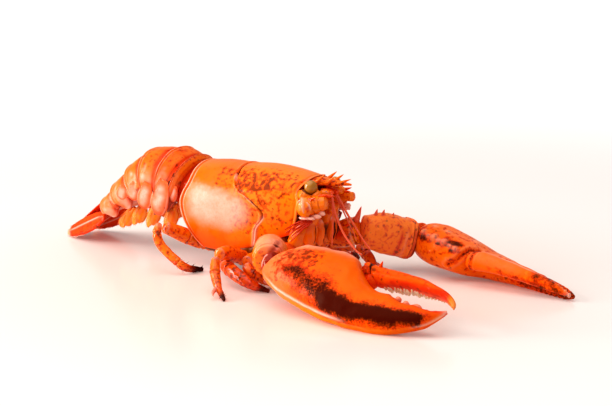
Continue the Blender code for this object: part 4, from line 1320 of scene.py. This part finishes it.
def build_right_finger(sizes):
    rings, local = blade_rings(CRUSHER_DACTYL, 110, 150, CRUSHER_PLACE)
    length, width, height = np.moveaxis(local, -1, 0)
    inner = width.min(1, keepdims=True)
    side = width - inner
    tooth = sizes.tooth_length / MM
    crest = line_distance(local, (66, 3.5, 5.6), (84, 2.0, 4.6), (100, -2.2, 3.9), (111, -7.5, 2.6))
    relief = 0.3 * bump(crest, 1.6)
    relief -= 0.35 * bump(line_distance(local, (66, 0.8, 5.6), (84, -0.3, 4.2), (98, -3.2, 3.2)), 0.9)
    relief -= 0.5 * bump(length - 62.5, 0.9)
    rings = lumpy(raised(rings, relief), sizes.lump_height / MM, 5.0, 6)
    rough = grain(rings, 2.0, 8)
    cutting = (1 - step(0.6, 2.4, side)) * step(72, 78, length)
    band = bump(side, 1.6) * bump(height + 2.0, 2.6) * step(70, 76, length)
    dark = window(length, 60, 67, 1.5) * step(0.3, 2.5, height) * (0.32 + 0.4 * rough)
    dark = dark + 0.6 * bump(length - 62.5, 0.8)
    dark += 0.35 * bump(height - 0.8, 1.0) * cutting * window(length, 72, 106, 3) * (0.8 + 0.5 * rough)
    deep = 0.9 * cutting * step(-1.5, 1.5, height) + 0.4 * step(100, 108, length)
    pale = np.maximum(0.2 * band, 0.12 * step(111, 115, length))
    amber = 0.9 * step(108, 113, length)
    shade = {"dark": dark, "deep": deep * (1 - amber), "pale": pale, "amber": amber}
    surfaces = [painted(rings, **shade, freckle=0.25)]
    teeth = []
    for even in np.linspace(72, 107, 19):
        chance, other = (scatter(np.array((even * 10, 1, k)), 5) for k in (1, 2))
        spot = even + 1.1 * (chance - 0.5)
        low = np.interp(spot, length.mean(1), inner[:, 0])
        size = tooth * np.interp(spot, (72, 84, 96, 107), (0.8, 1.0, 0.75, 0.35)) * (0.6 + 0.6 * other)
        centre = (spot, low + 0.75 * size, -2.4 + 0.8 * (chance - 0.5))
        pearl = ball(centre, (0.24 * size + 0.4, 1.0 * size, 1.25 * size), 14, 18)
        teeth.append(painted(at(CRUSHER_PLACE, pearl)))
    for spot, radii in (((60.5, 3.6, 0.4), (4.6, 4.8, 5.6)), ((63.5, 0.0, -1.0), (4.2, 4.2, 4.6))):
        knuckle = lumpy(ball(spot, radii, 30, 40), 0.3, 3.0)
        patch = 0.42 * step(1, 4, knuckle[..., 2])
        surfaces.append(painted(at(CRUSHER_PLACE, knuckle), deep=0.25, patch=patch))
    surfaces.append(painted(at(CRUSHER_PLACE, thorn((67.5, 5.0, 4.5), (69.0, 7.2, 7.8), 1.2)), deep=0.6))
    return surfaces, teeth


WRIST_SLIT = ((88.0, -47.0, 29.8), (88.8, -50.7, 28.6), (89.1, -53.0, 27.5), (88.6, -56.0, 26.5))


def build_right_claw(sizes):
    materials = finishes()
    palm = build_right_palm(sizes)
    molars = [
        ((96.5, -18.2, 1.5), (3.2, 2.9, 3.0)),
        ((90.0, -16.0, 1.8), (2.0, 2.0, 2.0)),
        ((85.0, -13.6, 2.0), (1.8, 1.7, 1.8)),
        ((102.6, -18.6, 0.8), (2.0, 1.7, 1.7)),
    ]
    surfaces = [palm] + [
        painted(at(CRUSHER_PLACE, lumpy(ball(spot, radii, 24, 32), 0.2, 2.0)), pale=0.3, pink=0.5, deep=0.3)
        for spot, radii in molars
    ]
    build_skin("right_palm", surfaces, materials["claw_gloss"], ["claw_right_palm"])
    finger, teeth = build_right_finger(sizes)
    build_skin("right_finger", finger, materials["claw_gloss"], ["claw_right_finger"])
    build_skin("right_finger_teeth", teeth, materials["tooth_enamel"])
    arm = ((72, -13.5, 16, 6.0, 6.0), (72.5, -22, 17, 7.2, 6.8), (72, -30, 18, 8.0, 7.6))
    rings, along, seam = segmented(arm, 64, 80, (1.5, 1.5), (0.12, 0.9), nip=0.08)
    surface = painted(lumpy(rings, 0.3, 6.0), dark=seam * 0.6, pink=0.2, pale=0.4 * bump(along - 0.84, 0.02))
    build_skin("right_arm", [surface], materials["leg_gloss"], ["claw_right_merus"])
    wrist = (
        (74.0, -35.5, 20.0, 8.0, 8.2),
        (77.0, -40.0, 21.5, 9.8, 10.6),
        (81.0, -46.0, 22.0, 10.0, 10.8),
        (85.6, -53.2, 21.0, 8.4, 9.0),
    )
    rings, along, seam = segmented(wrist, 110, 110, (1.5, 1.5), (0.88,), nip=0.05)
    slit = line_distance(rings, *WRIST_SLIT)
    rings = lumpy(raised(rings, 0.4 * bump(slit - 2.2, 1.2) - 0.8 * bump(slit, 1.2)), 0.35, 6.0)
    # Pink and pale on the upper part, with fewer freckles: painted light on the top.
    lit_top = step(24, 31, rings[..., 2])
    # In the slit between wrist and palm: deep red, with painted shade along its middle.
    shade = {"dark": 0.36 * bump(slit, 2.0) + seam * 0.3, "deep": bump(slit, 3.4), "amber": 0.7}
    shade |= {"pink": 0.7 * lit_top, "pale": 0.22 * lit_top, "freckle": 0.35 - 0.25 * lit_top}
    surface = painted(rings, **shade)
    joint = ball((2.8, 0.6, 0.6), (5.4, 7.0, 7.4), 40, 50)
    # On the joint ball in the gap: a painted glint along one line, and painted shade elsewhere over deep red.
    painted_glint = bump(line_distance(joint, (1.6, 0.6, 7.6), (0.2, -2.4, 6.2), (-0.4, -4.4, 4.0)), 0.7)
    joint = lumpy(at(CRUSHER_PLACE, joint), 0.4, 3.0)
    surfaces = [surface, painted(joint, deep=0.95, dark=0.5 * (1 - painted_glint), pale=0.8 * painted_glint)]
    build_skin("right_wrist", surfaces, materials["leg_gloss"], ["claw_right_carpus"])


TUBERCLES = (
    (10.5, -11.9, 6.5, 2.2, 2.0),
    (15.0, -13.3, 6.0, 1.0, 1.3),
    (19.3, -13.5, 6.2, 2.4, 2.1),
    (23.2, -14.0, 5.6, 1.1, 1.3),
    (26.9, -13.5, 5.5, 2.3, 2.0),
    (31.0, -13.6, 4.6, 1.0, 1.3),
    (34.6, -13.0, 4.0, 1.5, 1.7),
    (37.3, 3.5, 8.1, 0.9, 2.4),
    (13.0, -5.5, 11.0, 0.6, 1.6),
    (22.0, -4.5, 10.6, 0.6, 1.6),
)


def build_left_palm(sizes):
    rings, local = blade_rings(CUTTER_PALM, 160, 180, CUTTER_PLACE)
    length, width, height = np.moveaxis(local, -1, 0)
    ridge = line_distance(local, (42, -0.4, 6.1), (54, 6, 4.7), (68, 8.5, 3.6), (84, 6.5, 2.6))
    crease = line_distance(local, (33.5, -16, -6), (38.7, -11.9, 0.8), (41, -6.5, 5.5), (44, -1.5, 5.5))
    relief = swell(local, TUBERCLES) + 0.5 * bump(ridge, 1.6) - 0.9 * bump(crease, 1.3)
    relief += 0.5 * bump(crease - 2.6, 1.3) * (length < 41) + swell(local, ((40.4, -10.1, -4.8, 1.0, 2.2),))
    inner = width.min(1, keepdims=True)
    cutting = (1 - step(0.6, 3.0, width - inner)) * step(52, 60, length)
    relief += 0.6 * cutting * np.maximum(np.sin(length * 1.9), -0.2) * (1 - step(102, 107, length))
    rings = above_table(lumpy(raised(rings, relief), 1.8 * sizes.lump_height / MM, 9.0, 9))
    knob = np.clip(swell(local, [(*spot, 1.2, wide) for *spot, _, wide in TUBERCLES]), 0, 1)
    near = bump(width + 12.6, 5.0) * bump(height - 5.2, 4.6) * window(length, 4, 41, 5)
    near = near * (0.62 + 0.75 * grain(rings, 3.2, 21))
    far = 0.42 * window(length, 80, 106, 8) * step(-3, 2, height)
    patch = np.maximum(0.92 * near * (1 - 0.9 * knob), far)
    patch = np.maximum(patch, 0.5 * cutting * step(60, 76, length))
    # Painted highlights: a pale line along the inner edge next to the moving finger, and one along the ridge.
    seam = bump(width - inner - 1.0, 0.55) * (height > 0) * window(length, 46, 82, 4)
    pale = 0.3 * knob * step(8, 12, length) + 0.1 * bump(crease - 2.8, 0.7) + 0.7 * seam
    pale = pale + 0.25 * bump(ridge, 0.6) * window(length, 46, 84, 5)
    deep = 0.2 * near + 0.3 * window(length, 70, 108, 10)
    # Pink on the top: painted sheen.
    pink = 0.6 * step(1, 7, height) * window(width, -7, 14, 5) * step(8, 20, length)
    # Painted shade in the crease.
    dark = bump(crease, 0.8) * 0.45
    patch = np.maximum(patch, 0.55 * bump(crease, 1.7))
    freckle = 0.3 + 0.2 * near
    shade = {"patch": patch, "pale": pale, "deep": deep, "pink": pink, "dark": dark}
    return painted(rings, **shade, freckle=freckle, amber=0.35)


def build_left_finger(sizes):
    rings, local = blade_rings(CUTTER_DACTYL, 110, 150, CUTTER_PLACE)
    length, width, height = np.moveaxis(local, -1, 0)
    outer = width.max(1, keepdims=True)
    side = outer - width
    cutting = (1 - step(0.6, 2.6, side)) * step(60, 68, length)
    relief = 0.55 * cutting * np.maximum(np.sin(length * 2.1 + 1), -0.2)
    relief += 0.3 * bump(line_distance(local, (52, -9, 7.2), (68, -6.5, 7.0), (92, -3.6, 4.4)), 1.5)
    relief -= 0.5 * bump(length - 49.5, 0.8)
    rings = lumpy(raised(rings, relief), sizes.lump_height / MM, 6.0, 12)
    band = bump(line_distance(local, (53, -14.5, 0.2), (68, -12.4, -0.4), (90, -7.6, 0.2)), 2.6)
    rough = grain(rings, 3.0, 14)
    patch = np.maximum(0.42 * band * step(54, 70, length), (0.42 + 0.25 * rough) * step(78, 88, length))
    pale = 0.3 * cutting + 0.3 * step(106, 109, length)
    amber = 0.3 + 0.7 * step(0.5, 0.8, rough) * step(78, 84, length)
    # A painted highlight along the top edge.
    top = bump(line_distance(local, (50, -9.6, 7.0), (68, -6.5, 7.0), (92, -3.6, 4.4)), 0.8)
    pale += 0.75 * top * window(length, 50, 84, 4)
    patch = np.maximum(patch, 0.45 * bump(length - 47.8, 1.6))
    dark = 0.3 * bump(side - 2.6, 1.0) * step(66, 74, length)
    # Pink on the upper face: painted sheen.
    pink = 0.45 * step(0.5, 4, height) * (1 - step(70, 86, length))
    freckle = 0.12 + 0.6 * band * step(54, 70, length)
    return painted(rings, patch=patch, pale=pale, dark=dark, pink=pink, freckle=freckle, amber=amber)


def build_left_claw(sizes):
    materials = finishes()
    gloss = materials["claw_gloss"]
    build_skin("left_palm", [build_left_palm(sizes)], gloss, ["claw_left_palm"])
    build_skin("left_finger", [build_left_finger(sizes)], gloss, ["claw_left_finger"])
    arm = (
        (80.5, 17.6, 20.0, 6.2, 6.5),
        (86.0, 18.0, 22.3, 7.4, 8.0),
        (93.0, 18.4, 24.8, 8.4, 8.6),
        (97.0, 19.4, 25.7, 7.4, 7.6),
    )
    rings, along, seam = segmented(arm, 64, 90, (1.5, 1.5), (0.1, 0.9), nip=0.07)
    hollow = bump(np.linalg.norm(rings - (90.5, 9.5, 24.0), axis=2), 5.5)
    rings = lumpy(raised(rings, -1.2 * hollow), 0.35, 6.0)
    # The dent is painted deep red and darker: painted shade in the hollow.
    shade = {"dark": seam * 0.5 + 0.2 * hollow, "deep": hollow, "pale": 0.3 * bump(along - 0.83, 0.025)}
    surfaces = [painted(rings, **shade, amber=0.8, freckle=0.5)]
    surfaces.append(painted(thorn((97, 18, 32), (101.2, 17.0, 41.4), 2.0, 24), deep=0.5, pale=0.15))
    surfaces.append(painted(thorn((94, 12.6, 29.5), (97.5, 10.6, 31.5), 1.1, 16), deep=0.5))
    build_skin("left_arm", surfaces, materials["leg_gloss"], ["claw_left_merus"])
    wrist = (
        (101.4, 20.4, 25.8, 8.6, 9.4),
        (107.4, 28.0, 24.2, 11.6, 11.6),
        (112.4, 35.6, 21.6, 12.2, 12.2),
        (118.6, 44.0, 18.8, 11.0, 11.2),
    )
    rings, along, seam = segmented(wrist, 100, 110, (1.5, 1.5), (0.86, 0.93), squareness=2.5, nip=0.04)
    deep = bump(along - 0.60, 0.045) + 0.8 * bump(along - 0.9, 0.04)
    low = step(0, 6, 29 - rings[..., 2])
    rings = lumpy(rings, 0.5, 6.0)
    pale = 0.08 + 0.15 * bump(along - 0.72, 0.03) * low
    bands = (0.4 * bump(along - 0.92, 0.04) + 0.3 * bump(along - 0.6, 0.03)) * low
    shade = {"dark": seam * 0.5 + bands, "deep": deep * low, "pale": pale}
    surfaces = [painted(rings, **shade, amber=0.55, freckle=0.38)]
    for base, tip, radius in (
        ((106, 24, 33.5), (108.5, 23.0, 39.6), 1.6),
        ((109, 27, 33.5), (111.5, 26.0, 39.2), 1.6),
        ((112, 33, 32.5), (114.6, 31.6, 36.6), 1.3),
        ((113, 26.5, 25.0), (118.0, 24.4, 26.0), 1.3),
    ):
        surfaces.append(painted(thorn(base, tip, radius, 20), deep=0.5, pale=0.2))
    joint = at(CUTTER_PLACE, ball((-0.5, 0, 0), (6.0, 8.8, 8.8), 50, 60))
    surfaces.append(painted(lumpy(joint, 0.3, 3.0), deep=0.3, amber=0.4, freckle=0.4))
    build_skin("left_wrist", surfaces, gloss, ["claw_left_carpus"])


# The walking legs, numbered from the front: each row is x, y, z and the radius

LEGS_RIGHT = (
    (
        ((60, -13.5, 10.4, 3.0), (60, -22, 11.0, 3.4), (58.5, -32, 12.5, 3.8), (59, -38, 12.5, 3.2)),
        ((61.5, -41.8, 11.5, 3.0), (65, -42.6, 8.5, 3.2), (71, -40.2, 5.4, 2.8), (79, -35, 1.2, 1.1)),
    ),
    (
        (
            (47, -13.4, 8.2, 3.0),
            (47.5, -22, 9.4, 3.2),
            (48.5, -34, 14.5, 3.5),
            (49.6, -45, 18.6, 3.5),
            (50.4, -53, 19.4, 2.8),
        ),
        (
            (51.8, -58, 17.4, 2.6),
            (54.0, -61.5, 13, 3.2),
            (57.5, -65, 8.6, 3.0),
            (63, -69.5, 4.8, 2.1),
            (71, -75.1, 0.8, 0.9),
        ),
    ),
    (
        ((30, -13.4, 7.8, 3.0), (36, -26, 9.0, 3.4), (43, -38, 10.2, 3.6)),
        (
            (46.2, -42.8, 10.0, 3.2),
            (54, -46.6, 9.0, 3.9),
            (65, -50.2, 6.4, 3.6),
            (72, -50.2, 4.0, 2.6),
            (80.4, -46.4, 1.0, 1.0),
        ),
    ),
    (
        (
            (11.0, -10.0, 11.0, 3.0),
            (5.6, -17, 13.6, 3.7),
            (1.2, -26, 19.2, 4.3),
            (-2.6, -37.0, 25.0, 3.3),
        ),
        (
            (-3.6, -42.6, 27.2, 2.2),
            (-2.4, -45.4, 22.5, 2.8),
            (1.0, -46.0, 16.4, 2.7),
            (9.5, -44.4, 9.2, 2.6),
            (16.6, -41.6, 4.0, 2.3),
            (19.4, -30.5, 1.2, 1.2),
        ),
    ),
)

# The left front leg is stretched forward under the left claw's arm.
LEG_LEFT_1 = (
    ((60, -13.5, 10.0, 3.0), (66, -22, 10.4, 3.4), (76, -31, 11.5, 3.6), (84, -34, 12.0, 3.0)),
    ((89.5, -33.5, 11.5, 2.8), (96, -30, 9.4, 3.4), (103, -25, 7.0, 3.2), (112, -17.5, 1.2, 1.4)),
)

# For each leg: its upper joints, its lower joints, how dark its tip is, how many bristles and how red it is.
LEG_LOOKS = (
    ((0.16, 0.46), (0.34,), 0.6, 40, 0.5),
    ((0.14, 0.4), (0.30,), 0.85, 50, 0.45),
    ((0.2, 0.5), (0.22,), 0.75, 40, 0.75),
    ((0.2, 0.5), (0.14, 0.62), 0.95, 110, 0.35),
)


# The legs' rings round and along, and how much plumper the first three thighs are.
LEG_SIDES = 28
THIGH_ROWS = 110
SHIN_ROWS = 130
PLUMP_THIGH = 1.18


def leg_surfaces(line, side, joints, count, caps, plump=1.0):
    """A leg's rings, a little taller than wide, nipped in at its joints."""
    rows = [(x, y * side, z, r * 0.92 * plump, r * 1.06 * plump) for x, y, z, r in line]
    return segmented(rows, LEG_SIDES, count, caps, joints, nip=0.2)


def build_legs(sizes):
    """Four walking legs on each side, a thigh and a shin each, the first left one posed apart."""
    gloss = finishes()["leg_gloss"]
    for side, word in ((1, "right"), (-1, "left")):
        for number, (lines, look) in enumerate(zip(LEGS_RIGHT, LEG_LOOKS), 1):
            first_left = (side, number) == (-1, 1)
            upper, lower = LEG_LEFT_1 if first_left else lines
            hip, knees, darkness, hairs, red = look
            plump = 1.0 if number == 4 else PLUMP_THIGH
            rings, along, seam = leg_surfaces(upper, side, hip, THIGH_ROWS, (0.9, 1.6), plump)
            cuff = bump(along - 0.955, 0.02)
            rings = lumpy(raised(rings, 0.25 * cuff), 0.12, 4.0, number)
            root = np.array(upper[0][:3]) * (1, side, 1)
            shade = {"dark": np.maximum(seam * 0.35, 0.36 * red), "deep": 0.45 * red + 0.3 * seam}
            shade |= {"pale": 0.3 * cuff, "amber": 1 - 0.7 * red, "freckle": 0.3 + 0.35 * red}
            surfaces = [painted(rings, **shade)]
            coxa = lumpy(ball(root + (0, -side * 1.5, 0.8), (4.6, 5.2, 4.0), 30, 36), 0.3, 3.0)
            # The hip balls of the second and third legs are darkened: painted shade under the shell.
            surfaces.append(painted(coxa, amber=0.5, deep=0.2, dark=0.5 * (number in (2, 3)), freckle=0.4))
            leg = f"leg_{word}_{number}"
            build_skin(f"{leg}_thigh", surfaces, gloss, [f"{leg}_upper"])
            rings, along, seam = leg_surfaces(lower, side, knees, SHIN_ROWS, (1.6, 0.5))
            tip = step(0.6 if number == 4 else 0.72, 0.92, along) * (0.95 if first_left else darkness)
            roughness = 0.15 + 0.25 * step(0.6, 0.8, along) * darkness
            rings = above_table(lumpy(rings, roughness, 2.6, number))
            dark = np.maximum(seam * 0.35, np.maximum(tip * 0.8, 0.36 * red))
            shade = {"dark": dark, "deep": 0.5 * red + 0.5 * step(0.5, 0.85, along)}
            shade |= {"pale": 0.3 * bump(along - 0.04, 0.03)}
            shade |= {"amber": 1 - 0.7 * red, "freckle": 0.35 + 0.35 * red}
            surfaces = [painted(rings, **shade)]
            low = int(len(rings) * (0.66 if number == 4 else 0.8))
            picks = np.arange(low, len(rings) - 4)
            turn = (picks * 13) % 28
            keep = np.linspace(0, len(picks) - 1, min(hairs, len(picks))).astype(int)
            roots = rings[picks[keep], turn[keep]]
            ahead = unit(rings[-1].mean(0) - rings[low].mean(0))
            ways = unit(unit(roots - rings[picks[keep]].mean(1)) + 0.8 * ahead)
            hair = bristles(roots, ways, sizes.bristle_length / MM * 0.6, 0.09, number)
            surfaces += [painted(made, dark=0.75, deep=0.5) for made in clear_of_table(hair)]
            if number in (1, 2):
                spot = rings[int(len(rings) * 0.7)].mean(0)
                end = rings[-1].mean(0)
                across = unit(np.cross(end - spot, (0, 0, 1))) * side
                ahead = unit(end - spot)
                finger_tip = end - 2.8 * ahead + across * 5.2 + (0, 0, 0.9)
                finger = thorn(spot + across * 0.6, finger_tip, 1.5, 20, across * 1.4)
                finger = above_table(finger)
                surfaces.append(painted(finger, deep=0.3, pale=0.35, dark=0.2))
            build_skin(f"{leg}_shin", surfaces, gloss, [f"{leg}_lower"])


# The light table

CAMERA = np.array((548.1, -677.8, 218.7))
AIM = np.array((38.9, 49.5, 30.0))


def turned_to(place, aim):
    """The turn of a camera or light that looks from one point to another."""
    return Vector(tuple(aim - place)).to_track_quat("-Z", "Y").to_euler()


# Brightness of the room, the key lamp in watts and the top light, and its spread in degrees.
ROOM_STRENGTH = 0.44
KEY_WATTS = 27.0
TOP_STRENGTH = 1.62
TOP_SPREAD = 70


def softbox(name, place, aim, width, height, power_watts):
    """A rectangular lamp at a place, facing a point; its width and height are in metres."""
    lamp = bpy.data.lights.new(name, "AREA")
    lamp.shape = "RECTANGLE"
    lamp.size, lamp.size_y = width, height
    lamp.energy = power_watts
    light = bpy.data.objects.new(name, lamp)
    light.location = tuple((place - ORIGIN) * MM)
    light.rotation_euler = turned_to(place, aim)
    bpy.context.scene.collection.objects.link(light)


def build_stage():
    """The table, the bright room, two lights and the camera."""
    colours = bpy.context.scene.lobster_colours
    finish = Finish("table_gloss")
    away = finish.value("ShaderNodeVectorMath", {"operation": "LENGTH"}, {0: finish.where}, "Value")
    glow = finish.mix(away.step(0.3, 1.3), (0.08, 0.075, 0.07), (0.6, 0.6, 0.6))
    # The table is warmer and darker near the lobster: painted shadow and painted reflection of its orange
    # shell.
    painted_shadow_tint = tuple(np.array(colours.table) * (0.98, 0.90, 0.84))
    finish.feed(Base_Color=finish.mix(away.step(0.08, 0.27), painted_shadow_tint, tuple(colours.table)))
    finish.feed(Roughness=0.2, Specular_IOR_Level=0.6)
    finish.feed(Emission_Color=glow, Emission_Strength=1.0)
    mesh = bpy.data.meshes.new("table_top")
    reach = 7.0
    corners = [(-reach, -reach, 0), (reach, -reach, 0), (reach, reach, 0), (-reach, reach, 0)]
    mesh.from_pydata(corners, [], [(0, 1, 2, 3)])
    mesh.materials.append(finish.material)
    floor = bpy.data.objects.new("table_top", mesh)
    bpy.context.scene.collection.objects.link(floor)
    world = bpy.data.worlds.new("white_room")
    world.use_nodes = True
    room = world.node_tree.nodes["Background"].inputs
    room["Color"].default_value = (1.0, 0.985, 0.98, 1.0)
    room["Strength"].default_value = ROOM_STRENGTH
    bpy.context.scene.world = world
    middle = np.array((40.0, -10.0, 35.0))
    key = middle + 1700 * unit(np.array((-0.74, -0.58, 0.28)))
    softbox("key_light", key, middle, 0.75, 0.95, KEY_WATTS)
    sun = bpy.data.lights.new("top_light", "SUN")
    sun.energy, sun.angle = TOP_STRENGTH, np.radians(TOP_SPREAD)
    light = bpy.data.objects.new("top_light", sun)
    light.rotation_euler = turned_to(np.array((-0.15, -0.25, 1.0)), np.zeros(3))
    bpy.context.scene.collection.objects.link(light)
    camera = bpy.data.cameras.new("camera")
    camera.lens = 85
    camera.sensor_width = 36
    camera.clip_start = 0.05
    holder = bpy.data.objects.new("camera", camera)
    holder.location = tuple((CAMERA - ORIGIN) * MM)
    holder.rotation_euler = turned_to(CAMERA, AIM)
    bpy.context.scene.collection.objects.link(holder)
    bpy.context.scene.camera = holder
    bpy.context.scene.view_settings.view_transform = "Standard"
    bpy.context.scene.view_settings.look = "Medium High Contrast"


# Operators and panel


class LOBSTER_OT_body(Operator):
    """Builds the body shell, its beak and the breast plate"""

    bl_idname = "lobster.body"
    bl_label = "Body shell"

    def execute(self, context):
        build_body_shell(context.scene.lobster_sizes)
        return {"FINISHED"}


class LOBSTER_OT_tail(Operator):
    """Builds the six overlapping plates of the tail"""

    bl_idname = "lobster.tail"
    bl_label = "Tail plates"

    def execute(self, context):
        build_tail(context.scene.lobster_sizes)
        return {"FINISHED"}


class LOBSTER_OT_fan(Operator):
    """Builds the five blades of the tail fan"""

    bl_idname = "lobster.fan"
    bl_label = "Tail fan"

    def execute(self, context):
        build_tail_fan(context.scene.lobster_sizes)
        return {"FINISHED"}


class LOBSTER_OT_swimming_legs(Operator):
    """Builds the soft swimming legs below the tail"""

    bl_idname = "lobster.swimming_legs"
    bl_label = "Swimming legs"

    def execute(self, context):
        build_swimmerets(context.scene.lobster_sizes)
        return {"FINISHED"}


class LOBSTER_OT_eyes(Operator):
    """Builds both eyes"""

    bl_idname = "lobster.eyes"
    bl_label = "Eyes"

    def execute(self, context):
        build_eyes(context.scene.lobster_sizes)
        return {"FINISHED"}


class LOBSTER_OT_feelers(Operator):
    """Builds the large feelers' stumps and the small feelers"""

    bl_idname = "lobster.feelers"
    bl_label = "Feelers"

    def execute(self, context):
        build_feelers(context.scene.lobster_sizes)
        return {"FINISHED"}


class LOBSTER_OT_mouth_legs(Operator):
    """Builds the mouth legs and the strands beside them"""

    bl_idname = "lobster.mouth_legs"
    bl_label = "Mouth legs"

    def execute(self, context):
        build_mouth_legs(context.scene.lobster_sizes)
        return {"FINISHED"}


class LOBSTER_OT_right_claw(Operator):
    """Builds the right claw with its dark patch, wrist and arm"""

    bl_idname = "lobster.right_claw"
    bl_label = "Right claw"

    def execute(self, context):
        build_right_claw(context.scene.lobster_sizes)
        return {"FINISHED"}


class LOBSTER_OT_left_claw(Operator):
    """Builds the left claw with its knobs, wrist and arm"""

    bl_idname = "lobster.left_claw"
    bl_label = "Left claw"

    def execute(self, context):
        build_left_claw(context.scene.lobster_sizes)
        return {"FINISHED"}


class LOBSTER_OT_legs(Operator):
    """Builds the eight walking legs"""

    bl_idname = "lobster.legs"
    bl_label = "Walking legs"

    def execute(self, context):
        build_legs(context.scene.lobster_sizes)
        return {"FINISHED"}


class LOBSTER_OT_stage(Operator):
    """Builds the table, the lights and the camera"""

    bl_idname = "lobster.stage"
    bl_label = "Light table"

    def execute(self, context):
        build_stage()
        return {"FINISHED"}


OPERATORS = (
    LOBSTER_OT_body,
    LOBSTER_OT_tail,
    LOBSTER_OT_fan,
    LOBSTER_OT_swimming_legs,
    LOBSTER_OT_eyes,
    LOBSTER_OT_feelers,
    LOBSTER_OT_mouth_legs,
    LOBSTER_OT_right_claw,
    LOBSTER_OT_left_claw,
    LOBSTER_OT_legs,
    LOBSTER_OT_stage,
)


class LOBSTER_PT_pieces(Panel):
    """Lists the lobster's pieces"""

    bl_label = "Cooked lobster"
    bl_space_type = "VIEW_3D"
    bl_region_type = "UI"
    bl_category = "Lobster"

    def draw(self, context):
        for operator in OPERATORS:
            self.layout.operator(operator.bl_idname)


CLASSES = (LobsterSizes, LobsterColours, *OPERATORS, LOBSTER_PT_pieces)


def register():
    for made in CLASSES:
        bpy.utils.register_class(made)
    bpy.types.Scene.lobster_sizes = PointerProperty(type=LobsterSizes)
    bpy.types.Scene.lobster_colours = PointerProperty(type=LobsterColours)


def unregister():
    del bpy.types.Scene.lobster_colours
    del bpy.types.Scene.lobster_sizes
    for made in reversed(CLASSES):
        bpy.utils.unregister_class(made)


def main():
    register()
    bpy.ops.lobster.body()
    bpy.ops.lobster.tail()
    bpy.ops.lobster.fan()
    bpy.ops.lobster.swimming_legs()
    bpy.ops.lobster.eyes()
    bpy.ops.lobster.feelers()
    bpy.ops.lobster.mouth_legs()
    bpy.ops.lobster.right_claw()
    bpy.ops.lobster.left_claw()
    bpy.ops.lobster.legs()
    bpy.ops.lobster.stage()


if __name__ == "__main__":
    main()
